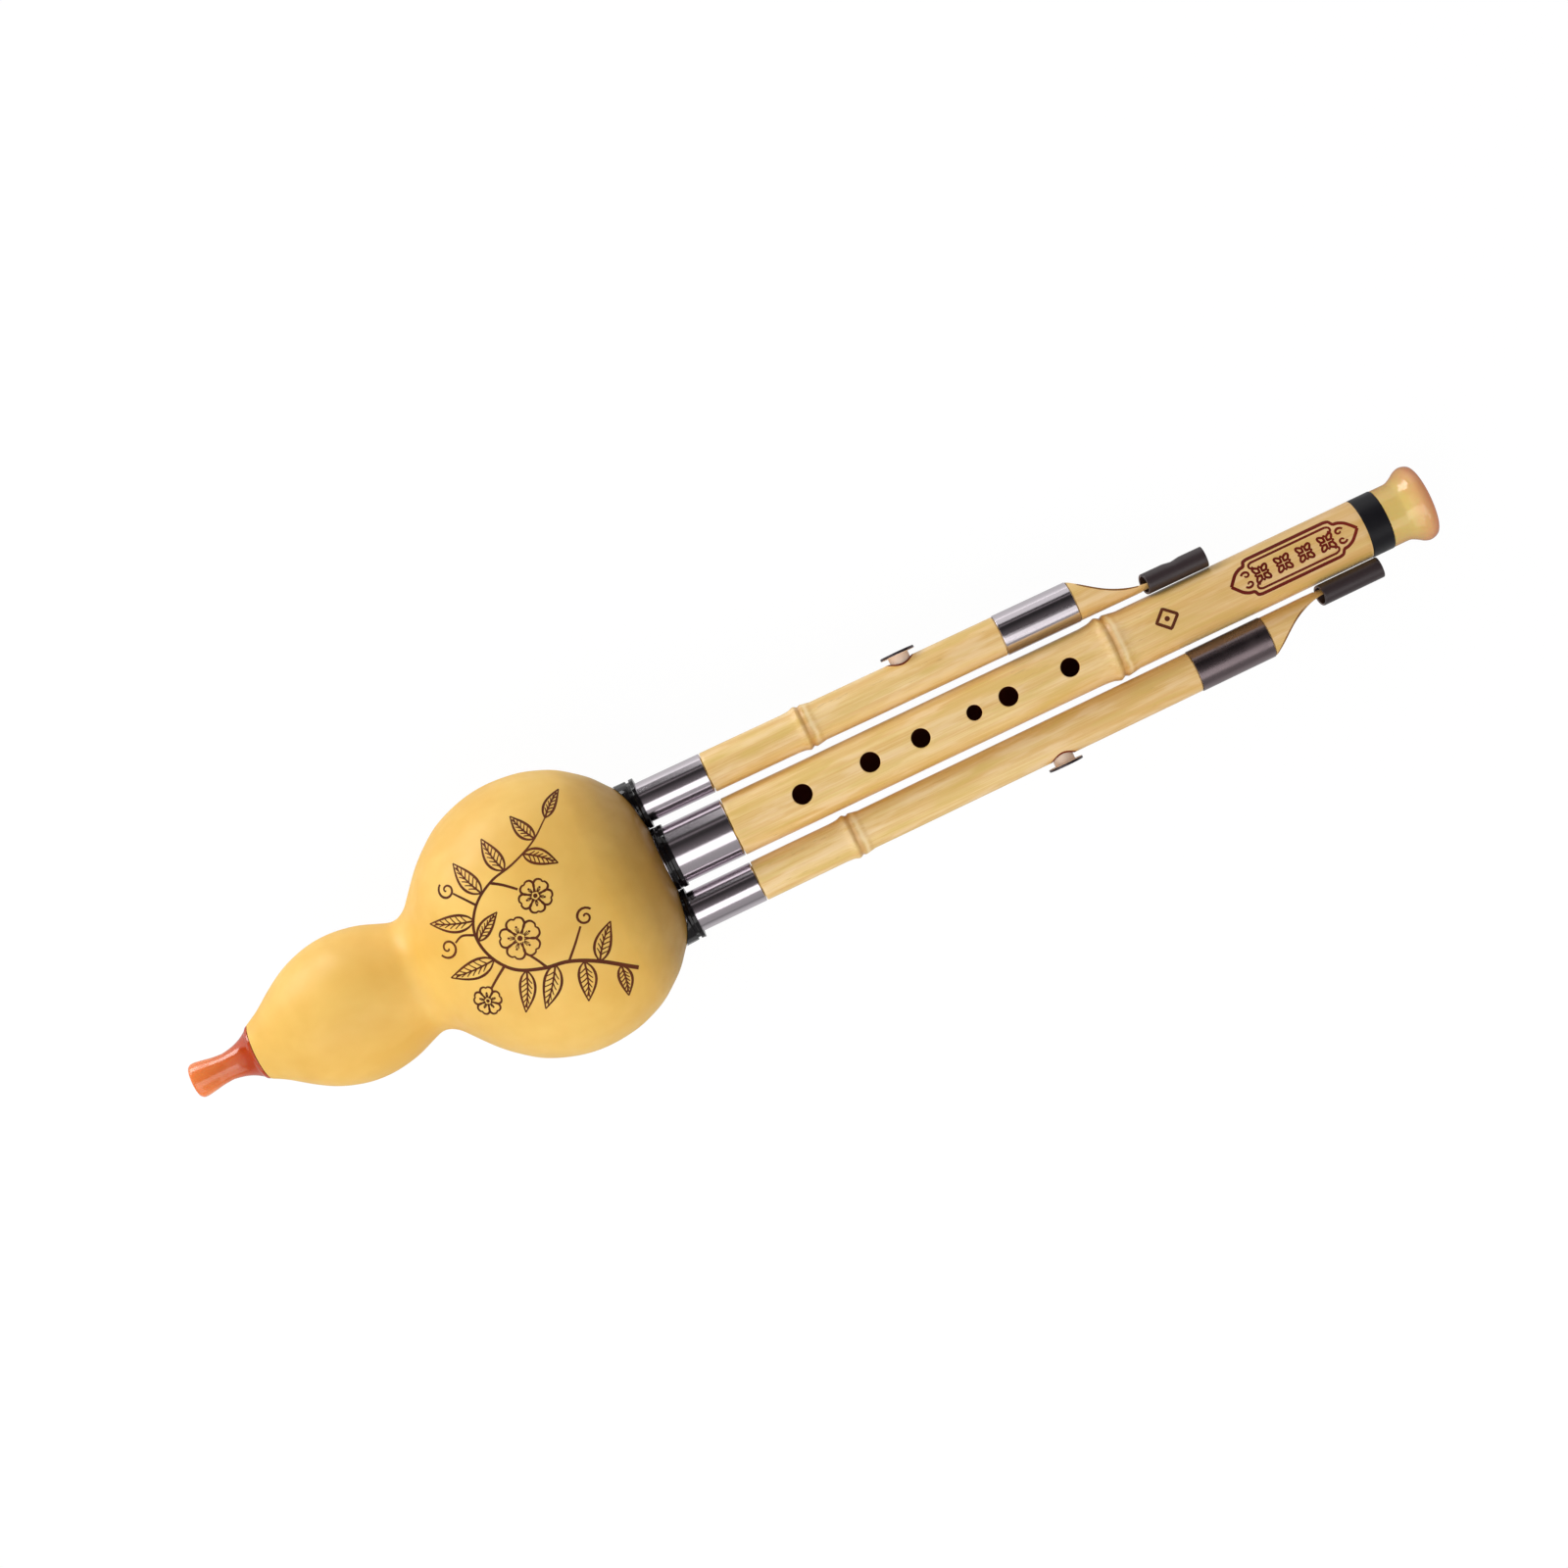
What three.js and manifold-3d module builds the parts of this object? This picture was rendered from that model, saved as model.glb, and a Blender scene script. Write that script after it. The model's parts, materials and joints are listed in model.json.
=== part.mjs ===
// A hulusi: a gourd wind chest with a mouthpiece, a melody pipe and two drones.
// Millimetres, +Z up. It lies on its back on the big bulb and the bell, with the
// finger holes up and the mouthpiece towards -X. The pieces are made in the
// instrument's own frame: +X along the melody pipe towards the bell, +Y towards
// the upper drone, +Z out of the finger holes, x = 0 at the mouths of the sockets.
import * as THREE from 'three';
import { mergeVertices } from 'three/addons/utils/BufferGeometryUtils.js';
import Module from 'manifold-3d';

const wasm = await Module();
wasm.setup();

// Gap between pieces that fit together, and how far a cut runs past a face.
const fitGap = 0.3;
const overrun = 1;

// Flat sides of the round pieces, by size.
const gourdSides = 32;
const melodySides = 28;
const droneSides = 24;
const smallSides = 16;
const holeSides = 12;

// Chrome sockets: the length that shows in front of the collars, and inside.
const socket = { shown: 20, inside: 14 };

// Black collars: from the gourd's base to the lip, and how deep they hug it.
const collar = { height: 2.9, lipThick: 1.4, lipRound: 0.3, grooveWide: 1, depth: 9 };

// Gourd: the steps from its base to the stem, its radii and its wall.
const gourd = {
  baseToBig: 41.3,
  bigToWaist: 44.1,
  waistToSmall: 21.6,
  smallToStem: 33.6,
  bigRadius: 45.3,
  waistRadius: 18.8,
  smallRadius: 24.1,
  stemRadius: 9.5,
  wall: 4,
};

// Outlines between two stations: share of the way, share of the radius step.
const baseToBigShares = [
  [0, 0], [0.044, 0.405], [0.086, 0.536], [0.174, 0.635], [0.248, 0.72], [0.324, 0.783],
  [0.474, 0.884], [0.624, 0.945], [0.774, 0.983], [1, 1],
];
const bigToWaistShares = [
  [0.205, 0.955], [0.413, 0.831], [0.551, 0.68], [0.688, 0.481], [0.826, 0.218],
  [0.9, 0.079], [1, 0],
];
const waistToSmallShares = [[0.215, 0.26], [0.5, 0.7], [0.785, 0.935], [1, 1]];
const smallToStemShares = [
  [0.16, 0.975], [0.33, 0.88], [0.5, 0.724], [0.682, 0.471], [0.863, 0.175], [1, 0],
];
const gourdSkinSteps = 28;
const gourdCavitySteps = 14;

// Mouthpiece: length from its shoulder on the gourd, radii, bore and tenon. The
// shoulder is a step smaller than the stem.
const mouthpiece = {
  length: 22.2,
  shoulderDrop: 0.3,
  waistRadius: 4.5,
  tipRadius: 5.65,
  boreRadius: 2.6,
  tenonRadius: 6,
  tenonLength: 12,
};
const shoulderToWaistShares = [[0, 1], [0.075, 0.72], [0.19, 0.38], [0.325, 0.14], [0.48, 0]];
const waistToTipShares = [[0.66, 0.22], [0.775, 0.61], [0.89, 1], [0.97, 0.87], [1, 0.43]];

// Bamboo joints swell, drop into a groove and end in a lower ridge.
const jointShares = [
  [0, 0], [0.25, 0.28], [0.4, 0.9], [0.46, 1], [0.53, 0.55], [0.58, 0.25], [0.66, 0.7],
  [0.74, 0.6], [1, 0],
];
const jointGrooveShare = 0.58;

// Melody pipe: its radius swells a little past the joint. The reed seat is a
// plug in the tenon: its neck wall, the floor over its bore, the plate's margin
// on its flat and the plate's landing round the slot.
const melody = {
  sides: melodySides,
  radius: 9.65,
  farSwell: 0.1,
  wall: 2.65,
  length: 217,
  joint: { place: 131.4, length: 12.5, rise: 0.95 },
  socketWall: 0.8,
  lip: { setForward: 0, rise: 1.3, grooveRise: 0.9 },
  tenon: { inside: 60, wall: 1.75, rootDrop: 0.55, rootLength: 8 },
  reed: { length: 24, neck: 8, neckWall: 2.5, floor: 1.5 },
  plate: { margin: 1.6, landing: 3, width: 9, slotWidth: 3 },
};
// Finger holes: places as shares of the pipe's length, radii of the widest one.
const fingerHole = { radius: 3.2 };
const fingerHoleShares = [
  [0.111, 1], [0.218, 1], [0.298, 0.95], [0.3825, 0.77], [0.4365, 0.97], [0.5335, 0.94],
];

// Holes on the back: the thumb hole and two vents.
const thumbHole = { place: 13.5, radius: 3 };
const vent = { fromEnd: 19, pitch: 16, radius: 2.2 };

// Bell and the black ring before it. The neck is a step smaller than the pipe.
const bell = {
  ringLength: 7.5,
  neckDrop: 0.15,
  neckLength: 5,
  flareLength: 9.3,
  flareRise: 2.8,
  mouthWall: 2.8,
  tenonWall: 1.1,
  tenonLength: 15,
};
const flareShares = [
  [0, 0], [0.16, 0.12], [0.33, 0.42], [0.5, 0.8], [0.66, 1], [0.8, 0.98], [0.93, 0.8], [1, 0.5],
];
const mouthShares = [[1, 1], [0.8, 0.75], [0.4, 0.3], [0, 0]];

// Drone pipes: what both have alike, then what differs.
const drone = {
  sides: droneSides,
  radius: 6.6,
  tailTaper: 0.1,
  wall: 2,
  socketWall: 0.6,
  lip: { setForward: -2, rise: 2, grooveRise: 1.3 },
  tenon: { inside: 52, wall: 1.4, rootDrop: 0.5, rootLength: 8 },
  reed: { length: 20, neck: 7, neckWall: 1.6, floor: 1.2 },
  plate: { margin: 1.8, landing: 2.5, width: 6.5, slotWidth: 2.2 },
};
const droneJoint = { length: 10, rise: 0.75 };
const droneGap = 2.5;
const toeIn = THREE.MathUtils.degToRad(0.29);
const upperDrone = {
  name: 'upper_drone',
  side: 1,
  jointPlace: 34.2,
  stopperPlace: 69.7,
  sleeveFromBell: 55.3,
  scoopLength: 23,
  crimped: true,
  bandFinish: 'chrome',
};
const lowerDrone = {
  name: 'lower_drone',
  side: -1,
  jointPlace: 33.4,
  stopperPlace: 102.7,
  sleeveFromBell: 7.3,
  scoopLength: 20.8,
  crimped: false,
  bandFinish: 'gunmetal',
};

// Metal band before each scoop, a little proud of the bamboo, and the strip of
// bamboo that the scoop leaves.
const band = { length: 25, proud: 0.25, wall: 0.5 };
const strip = { thick: 2, endInside: 6 };
const scoopShares = { leaving: [0.26, 0.4], landing: [0.52, 0.96] };

// Black sleeve on each tail, placed back from the bell's face on the ring and cut
// at a slant on its gourd end.
const sleeve = { length: 20, radius: 3.4, wall: 0.75, slant: 1.6 };
const crimp = { depth: 0.4, radius: 2.4 };

// Button-like stopper in each drone's outer side.
const stopper = { shank: 3.4, head: 5.7, headThick: 0.9, standOff: 1.6, reach: 2.2, edge: 0.2 };

// Brass reed plates: their thickness and the slit that frees the tongue.
const reedPlate = { thick: 0.5, slit: 0.35, slitInsetShare: 0.12 };

// Steps in the curve of a scoop.
const scoopSteps = 9;

// Finishes of the pieces.
const finishes = {
  gourdSkin: { color: '#efc76c', roughness: 0.45, metalness: 0 },
  amber: { color: '#e0652f', roughness: 0.2, metalness: 0 },
  paleAmber: { color: '#cdb45f', roughness: 0.25, metalness: 0 },
  bamboo: { color: '#e6c47e', roughness: 0.45, metalness: 0 },
  blackPlastic: { color: '#1c1a1c', roughness: 0.3, metalness: 0 },
  blackSleeve: { color: '#3a3335', roughness: 0.45, metalness: 0 },
  chrome: { color: '#d8d5da', roughness: 0.12, metalness: 1 },
  gunmetal: { color: '#4a4549', roughness: 0.3, metalness: 1 },
  brass: { color: '#c9a24a', roughness: 0.3, metalness: 1 },
  reedSeatPlastic: { color: '#e8e0cc', roughness: 0.5, metalness: 0 },
};

// Round solid about +X from an outline of [place, radius] points. The radii are
// measured across the flats, and flats face up, down and to both sides.
function turned(outline, count) {
  const closed = outline[0][1] > 0 ? [...outline, outline[0]] : outline;
  const half = Math.PI / count;
  const points = closed.map(([place, radius]) => new THREE.Vector2(radius / Math.cos(half), place));
  return new THREE.LatheGeometry(points, count, half).rotateZ(-Math.PI / 2);
}

// Solid bar about +X.
function bar(radius, from, to, count) {
  return turned([[from, 0], [from, radius], [to, radius], [to, 0]], count);
}

// Tube about +X.
function tube(radius, bore, from, to, count) {
  return turned([[from, radius], [to, radius], [to, bore], [from, bore]], count);
}

// Box between two corners.
function block(low, high) {
  const [dx, dy, dz] = high.map((value, axis) => value - low[axis]);
  const [x, y, z] = high.map((value, axis) => (value + low[axis]) / 2);
  return new THREE.BoxGeometry(dx, dy, dz).translate(x, y, z);
}

// Closed geometry as a solid, with its shared vertices merged.
function solidOf(geometry) {
  const bare = geometry.clone();
  bare.deleteAttribute('normal');
  bare.deleteAttribute('uv');
  const welded = mergeVertices(bare);
  const corners = Array.from(welded.index.array);
  const triangles = [];
  for (let start = 0; start < corners.length; start += 3) {
    const [a, b, c] = corners.slice(start, start + 3);
    if (a !== b && b !== c && c !== a) triangles.push(a, b, c);
  }
  const vertProperties = Float32Array.from(welded.attributes.position.array);
  const triVerts = Uint32Array.from(triangles);
  return new wasm.Manifold(new wasm.Mesh({ numProp: 3, vertProperties, triVerts }));
}

function geometryOf(solid) {
  const { vertProperties, triVerts } = solid.getMesh();
  const geometry = new THREE.BufferGeometry();
  geometry.setAttribute('position', new THREE.BufferAttribute(vertProperties, 3));
  geometry.setIndex(new THREE.BufferAttribute(triVerts, 1));
  geometry.computeVertexNormals();
  return geometry;
}

// What is left of a body when the tools are cut out of it.
function cut(body, ...tools) {
  return geometryOf(tools.reduce((rest, tool) => rest.subtract(solidOf(tool)), solidOf(body)));
}

function piece(name, geometry, finish) {
  const mesh = new THREE.Mesh(geometry, new THREE.MeshStandardMaterial(finish));
  mesh.name = name;
  return mesh;
}

// Points between two stations of [place, radius], by shares of the two steps.
// A radius share of 1 stands for the larger of the two radii.
function stretch(shares, start, end) {
  const small = Math.min(start[1], end[1]);
  const rise = Math.abs(start[1] - end[1]);
  return shares.map(([along, share]) => [start[0] + (end[0] - start[0]) * along, small + rise * share]);
}

// Sizes that follow from the ones above

const melodyFar = melody.radius + melody.farSwell;
const droneTail = drone.radius - drone.tailTaper;
const bellTenon = pipeBore(melody) + bell.tenonWall;
const spacing = melody.radius + droneGap + drone.radius;
const lipPlace = -socket.shown;
const basePlace = lipPlace - collar.height;
const bigPlace = basePlace - gourd.baseToBig;
const waistPlace = bigPlace - gourd.bigToWaist;
const smallPlace = waistPlace - gourd.waistToSmall;
const stemPlace = smallPlace - gourd.smallToStem;

// Collars part where the two lips would meet, in the ratio of their radii.
const melodyRim = melody.radius + melody.lip.rise;
const droneRim = drone.radius + drone.lip.rise;
const partingPlace = spacing * melodyRim / (melodyRim + droneRim);

function pipeBore(pipe) {
  return pipe.radius - pipe.wall;
}

// Gourd

function gourdCurve() {
  const base = [basePlace, 0];
  const big = [bigPlace, gourd.bigRadius];
  const waist = [waistPlace, gourd.waistRadius];
  const small = [smallPlace, gourd.smallRadius];
  const stem = [stemPlace, gourd.stemRadius];
  const stations = [
    ...stretch(baseToBigShares, base, big),
    ...stretch(bigToWaistShares, big, waist),
    ...stretch(waistToSmallShares, waist, small),
    ...stretch(smallToStemShares, small, stem),
  ];
  return new THREE.SplineCurve(stations.map(([place, radius]) => new THREE.Vector2(place, radius)));
}

// Outline of the gourd from stem to base, moved out of its skin by a distance.
function gourdOutline(outward, steps) {
  const curve = gourdCurve();
  const outline = [];
  for (let step = steps; step >= 0; step -= 1) {
    const along = step / steps;
    const point = curve.getPointAt(along);
    const way = curve.getTangentAt(along);
    const radius = Math.max(point.y + outward * -way.x, 0);
    outline.push([point.x + outward * way.y, step === 0 ? 0 : radius]);
  }
  return [[outline[0][0], 0], ...outline];
}

// The gourd as if it were solid, for what sits on it.
function gourdBody(outward) {
  return turned(gourdOutline(outward, gourdSkinSteps), gourdSides);
}

function gourdShell(droneFrames) {
  const cavity = turned(gourdOutline(-gourd.wall, gourdCavitySteps), gourdSides);
  const neck = bar(mouthpiece.tenonRadius + fitGap, stemPlace - overrun, smallPlace, smallSides);
  const reach = [basePlace - gourd.baseToBig / 2, lipPlace];
  const holes = droneFrames.map((frame) => (
    bar(drone.radius + fitGap, ...reach, drone.sides).applyMatrix4(frame)
  ));
  const melodyHole = bar(melody.radius + fitGap, ...reach, melody.sides);
  return cut(gourdBody(0), cavity, neck, melodyHole, ...holes);
}

function mouthpieceBody() {
  const shoulder = stemPlace - fitGap;
  const tip = shoulder - mouthpiece.length;
  const widest = gourd.stemRadius - mouthpiece.shoulderDrop;
  const outside = [
    ...stretch(shoulderToWaistShares, [shoulder, mouthpiece.waistRadius], [tip, widest]),
    ...stretch(waistToTipShares, [shoulder, mouthpiece.waistRadius], [tip, mouthpiece.tipRadius]),
  ].reverse();
  const tenonEnd = shoulder + fitGap + mouthpiece.tenonLength;
  return turned([
    ...outside,
    [shoulder, mouthpiece.tenonRadius],
    [tenonEnd, mouthpiece.tenonRadius],
    [tenonEnd, mouthpiece.boreRadius],
    [tip, mouthpiece.boreRadius],
  ], smallSides);
}

// Sockets, collars, tenons and reeds, alike on all three pipes

function socketTube(pipe) {
  return tube(pipe.radius, pipe.radius - pipe.socketWall, lipPlace - socket.inside, 0, pipe.sides);
}

// Collar with a lip and a groove, its back shaped to the gourd and its sides
// cut along the parting planes to its neighbours.
function collarRing(pipe, toPipe, neighbours) {
  const lip = lipPlace + pipe.lip.setForward;
  const back = basePlace - collar.depth;
  const bore = pipe.radius + fitGap;
  const rim = pipe.radius + pipe.lip.rise;
  const groove = pipe.radius + pipe.lip.grooveRise;
  const lipBack = lip - collar.lipThick;
  const grooveBack = lipBack - collar.grooveWide;
  const ring = turned([
    [back, rim],
    [grooveBack - collar.lipRound, rim],
    [grooveBack, groove],
    [lipBack, groove],
    [lipBack, rim - collar.lipRound],
    [lipBack + collar.lipRound, rim],
    [lip - collar.lipRound, rim],
    [lip, rim - collar.lipRound],
    [lip, bore],
    [back, bore],
  ], pipe.sides);
  const beyond = gourd.bigRadius;
  const parting = neighbours.map(({ place, outwards }) => {
    const face = place - outwards * fitGap / 2;
    const far = face + outwards * beyond;
    return block([back - overrun, Math.min(face, far), -beyond], [0, Math.max(face, far), beyond]);
  });
  const tools = [gourdBody(fitGap), ...parting].map((tool) => tool.applyMatrix4(toPipe));
  return cut(ring, ...tools);
}

function tenonRadius(pipe) {
  return pipe.radius - pipe.socketWall - fitGap;
}

function tenonRoot(pipe) {
  return tenonRadius(pipe) - pipe.tenon.rootDrop;
}

function tenonBore(pipe) {
  return tenonRadius(pipe) - pipe.tenon.wall;
}

function tenonTube(pipe) {
  const inner = -pipe.tenon.inside;
  return turned([
    [inner, tenonRadius(pipe)],
    [0, tenonRadius(pipe)],
    [0, tenonRoot(pipe)],
    [pipe.tenon.rootLength, tenonRoot(pipe)],
    [pipe.tenon.rootLength, tenonBore(pipe)],
    [inner, tenonBore(pipe)],
  ], pipe.sides);
}

// The reed's places and sizes on a pipe: the seat from its face on the tenon to
// its end, the flat planed on it and the plate on the flat.
function reedLayout(pipe) {
  const face = -pipe.tenon.inside - fitGap;
  const end = face - pipe.reed.length;
  const flatStart = face - pipe.tenon.wall;
  const neckRadius = tenonBore(pipe) - fitGap;
  const bore = neckRadius - pipe.reed.neckWall;
  const plateLength = flatStart - end - pipe.plate.margin * 2;
  return {
    face,
    end,
    flatStart,
    neckRadius,
    bore,
    flat: bore + pipe.reed.floor,
    middle: (flatStart + end) / 2,
    plateHalf: plateLength / 2,
    slotHalf: plateLength / 2 - pipe.plate.landing,
  };
}

// Plug in the tenon's inner end, with a flat for the reed and a slot under it.
function reedSeat(pipe) {
  const lay = reedLayout(pipe);
  const neckEnd = lay.face + pipe.reed.neck;
  const plug = turned([
    [lay.end, 0],
    [lay.end, tenonRadius(pipe)],
    [lay.face, tenonRadius(pipe)],
    [lay.face, lay.neckRadius],
    [neckEnd, lay.neckRadius],
    [neckEnd, 0],
  ], pipe.sides);
  const reach = tenonRadius(pipe) + overrun;
  const halfSlot = pipe.plate.slotWidth / 2;
  const bore = bar(lay.bore, lay.middle - lay.slotHalf, neckEnd + overrun, smallSides);
  const flat = block([lay.end - overrun, -reach, lay.flat], [lay.flatStart, reach, reach]);
  const slot = block(
    [lay.middle - lay.slotHalf, -halfSlot, 0],
    [lay.middle + lay.slotHalf, halfSlot, reach],
  );
  return cut(plug, bore, flat, slot);
}

// Thin plate with a slit round three sides of its tongue.
function reedPlateSolid(pipe) {
  const lay = reedLayout(pipe);
  const half = pipe.plate.width / 2;
  const outline = new THREE.Shape([
    new THREE.Vector2(-lay.plateHalf, -half),
    new THREE.Vector2(lay.plateHalf, -half),
    new THREE.Vector2(lay.plateHalf, half),
    new THREE.Vector2(-lay.plateHalf, half),
  ]);
  const tip = lay.slotHalf * (1 - reedPlate.slitInsetShare);
  const root = -tip;
  const wide = pipe.plate.slotWidth / 2 * (1 - reedPlate.slitInsetShare);
  const slit = reedPlate.slit;
  outline.holes.push(new THREE.Path([
    new THREE.Vector2(root, wide),
    new THREE.Vector2(tip, wide / 2),
    new THREE.Vector2(tip, -wide / 2),
    new THREE.Vector2(root, -wide),
    new THREE.Vector2(root, slit - wide),
    new THREE.Vector2(tip - slit, (slit - wide) / 2),
    new THREE.Vector2(tip - slit, (wide - slit) / 2),
    new THREE.Vector2(root, wide - slit),
  ]));
  const plate = new THREE.ExtrudeGeometry(outline, { depth: reedPlate.thick, bevelEnabled: false });
  return plate.translate(lay.middle, 0, lay.flat + fitGap);
}

// Bamboo joint as outline points, its groove at the given place.
function jointOutline(place, joint, before, after) {
  const start = place - joint.length * jointGrooveShare;
  return jointShares.map(([along, share]) => [
    start + joint.length * along,
    before + (after - before) * along + joint.rise * share,
  ]);
}

// Melody pipe, ring and bell

function drilled(place, radius, upwards) {
  const drill = bar(radius, 0, melodyFar + overrun, holeSides);
  return drill.rotateY(-upwards * Math.PI / 2).translate(place, 0, 0);
}

function melodyPipe() {
  const root = tenonRoot(melody) + fitGap;
  const bore = pipeBore(melody);
  const bellSeat = bellTenon + fitGap;
  const seatStart = melody.length + bell.ringLength - bell.tenonLength - fitGap;
  const pipe = turned([
    [fitGap, melody.radius],
    ...jointOutline(melody.joint.place, melody.joint, melody.radius, melodyFar),
    [melody.length, melodyFar],
    [melody.length, bellSeat],
    [seatStart, bellSeat],
    [seatStart, bore],
    [melody.tenon.rootLength + fitGap, bore],
    [melody.tenon.rootLength + fitGap, root],
    [fitGap, root],
  ], melody.sides);
  const front = fingerHoleShares.map(([along, size]) => (
    drilled(melody.length * along, fingerHole.radius * size, 1)
  ));
  const farVent = melody.length - vent.fromEnd;
  const back = [farVent - vent.pitch, farVent].map((place) => drilled(place, vent.radius, -1));
  return cut(pipe, ...front, drilled(thumbHole.place, thumbHole.radius, -1), ...back);
}

function bellRing() {
  const from = melody.length + fitGap;
  const to = melody.length + bell.ringLength - fitGap;
  return tube(melodyFar, bellTenon + fitGap, from, to, melody.sides);
}

// The flare's outline, from the end of the neck to the mouth.
function bellFlare() {
  const neckEnd = melody.length + bell.ringLength + bell.neckLength;
  const neck = melodyFar - bell.neckDrop;
  return stretch(flareShares, [neckEnd, neck], [neckEnd + bell.flareLength, neck + bell.flareRise]);
}

function bellBody() {
  const start = melody.length + bell.ringLength;
  const neck = melodyFar - bell.neckDrop;
  const mouth = [start + bell.neckLength + bell.flareLength, neck + bell.flareRise - bell.mouthWall];
  return turned([
    [start - bell.tenonLength, bellTenon],
    [start, bellTenon],
    [start, neck],
    ...bellFlare(),
    ...stretch(mouthShares, [start, pipeBore(melody)], mouth),
    [start - bell.tenonLength, pipeBore(melody)],
  ], melody.sides);
}

// Drones. Each is made in a frame of its own: +X along it, x = 0 at its socket's
// mouth, and its outer side towards side times +Y.

function sleeveStart(spec) {
  return melody.length + bell.ringLength - spec.sleeveFromBell - sleeve.length;
}

function bandEnd(spec) {
  return sleeveStart(spec) - spec.scoopLength;
}

function bandStart(spec) {
  return bandEnd(spec) - band.length;
}

// Where the sleeve's axis lies: on the middle of the bamboo's wall, and just
// clear of the melody pipe's corners at the sleeve's far end.
function sleeveCentre(spec) {
  const far = sleeveStart(spec) + sleeve.length;
  const apart = spacing - Math.tan(toeIn) * far;
  const wallMiddle = (droneTail + pipeBore(drone)) / 2;
  const corner = melodyFar / Math.cos(Math.PI / melody.sides);
  const clear = corner + fitGap + sleeve.radius / Math.cos(Math.PI / smallSides);
  const cosine = (apart * apart + wallMiddle * wallMiddle - clear * clear) / (2 * apart * wallMiddle);
  const turn = Math.acos(Math.min(cosine, 1));
  return [-spec.side * wallMiddle * Math.cos(turn), wallMiddle * Math.sin(turn)];
}

function dronePipe(spec) {
  const root = tenonRoot(drone) + fitGap;
  const bore = pipeBore(drone);
  const bandSeat = droneTail + band.proud - band.wall - fitGap;
  const tail = sleeveStart(spec) + sleeve.length - strip.endInside;
  const pipe = turned([
    [fitGap, drone.radius],
    ...jointOutline(spec.jointPlace, droneJoint, drone.radius, droneTail),
    [bandStart(spec) - fitGap, droneTail],
    [bandStart(spec) - fitGap, bandSeat],
    [bandEnd(spec) + fitGap, bandSeat],
    [bandEnd(spec) + fitGap, droneTail],
    [tail, droneTail],
    [tail, bore],
    [drone.tenon.rootLength + fitGap, bore],
    [drone.tenon.rootLength + fitGap, root],
    [fitGap, root],
  ], drone.sides);
  return cut(pipe, scoopTool(spec, tail), tongueTool(spec, tail), stopperHole(spec));
}

// The scoop takes the outer side away in a hollow curve and runs out flat.
function scoopTool(spec, tail) {
  const start = bandEnd(spec) + fitGap;
  const length = sleeveStart(spec) - start;
  const top = droneTail;
  const floor = strip.thick - droneTail;
  const at = ([along, drop]) => [start + length * along, spec.side * (top - (top - floor) * drop)];
  const beyond = top + overrun;
  const shape = new THREE.Shape();
  shape.moveTo(...at([0, 0]));
  shape.bezierCurveTo(...at(scoopShares.leaving), ...at(scoopShares.landing), ...at([1, 1]));
  shape.lineTo(tail + overrun, spec.side * floor);
  shape.lineTo(tail + overrun, spec.side * beyond);
  shape.lineTo(start, spec.side * beyond);
  shape.closePath();
  const depth = beyond * 2;
  return new THREE.ExtrudeGeometry(shape, { depth, bevelEnabled: false, curveSegments: scoopSteps })
    .translate(0, 0, -beyond);
}

// Inside the sleeve only a tongue is left of the strip.
function tongueTool(spec, tail) {
  const [y, z] = sleeveCentre(spec);
  const reach = droneTail + overrun;
  const from = sleeveStart(spec) - sleeve.slant - fitGap;
  const around = block([from, -reach, -reach], [tail + overrun, reach, reach]);
  const tongue = bar(sleeve.radius - sleeve.wall - fitGap, from - overrun, tail + overrun * 2, smallSides);
  return cut(around, tongue.translate(0, y, z));
}

function sideways(geometry, spec) {
  return geometry.rotateZ(spec.side * Math.PI / 2).translate(spec.stopperPlace, 0, 0);
}

function stopperHole(spec) {
  return sideways(bar(stopper.shank + fitGap, 0, drone.radius + overrun, smallSides), spec);
}

function stopperSolid(spec) {
  const inner = drone.radius - stopper.reach;
  const under = drone.radius + stopper.standOff;
  const top = under + stopper.headThick;
  const button = turned([
    [inner, 0],
    [inner, stopper.shank],
    [under, stopper.shank],
    [under, stopper.head - stopper.edge],
    [under + stopper.edge, stopper.head],
    [top - stopper.edge, stopper.head],
    [top, stopper.head - stopper.edge],
    [top, 0],
  ], smallSides);
  return sideways(button, spec);
}

function bandRing(spec) {
  const radius = droneTail + band.proud;
  return tube(radius, radius - band.wall, bandStart(spec), bandEnd(spec), drone.sides);
}

function sleeveTube(spec) {
  const start = sleeveStart(spec);
  const [y, z] = sleeveCentre(spec);
  const back = start - sleeve.slant;
  const whole = tube(sleeve.radius, sleeve.radius - sleeve.wall, back, start + sleeve.length, smallSides);
  const reach = sleeve.radius + overrun;
  const slant = new THREE.Shape([
    new THREE.Vector2(back - overrun, -reach),
    new THREE.Vector2(back, -sleeve.radius),
    new THREE.Vector2(start, sleeve.radius),
    new THREE.Vector2(start, reach),
    new THREE.Vector2(back - overrun, reach),
  ]);
  const slantTool = new THREE.ExtrudeGeometry(slant, { depth: reach * 2, bevelEnabled: false })
    .translate(0, 0, -reach).rotateX(Math.PI / 2);
  const tools = spec.crimped ? [slantTool, crimpTool(spec, reach)] : [slantTool];
  return cut(whole, ...tools).translate(0, y, z);
}

// Round dent across the sleeve's outer side, half way along.
function crimpTool(spec, reach) {
  const across = bar(crimp.radius, -reach, reach, holeSides).rotateY(Math.PI / 2);
  const out = sleeve.radius + crimp.radius - crimp.depth;
  return across.translate(sleeveStart(spec) + sleeve.length / 2, spec.side * out, 0);
}

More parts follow.
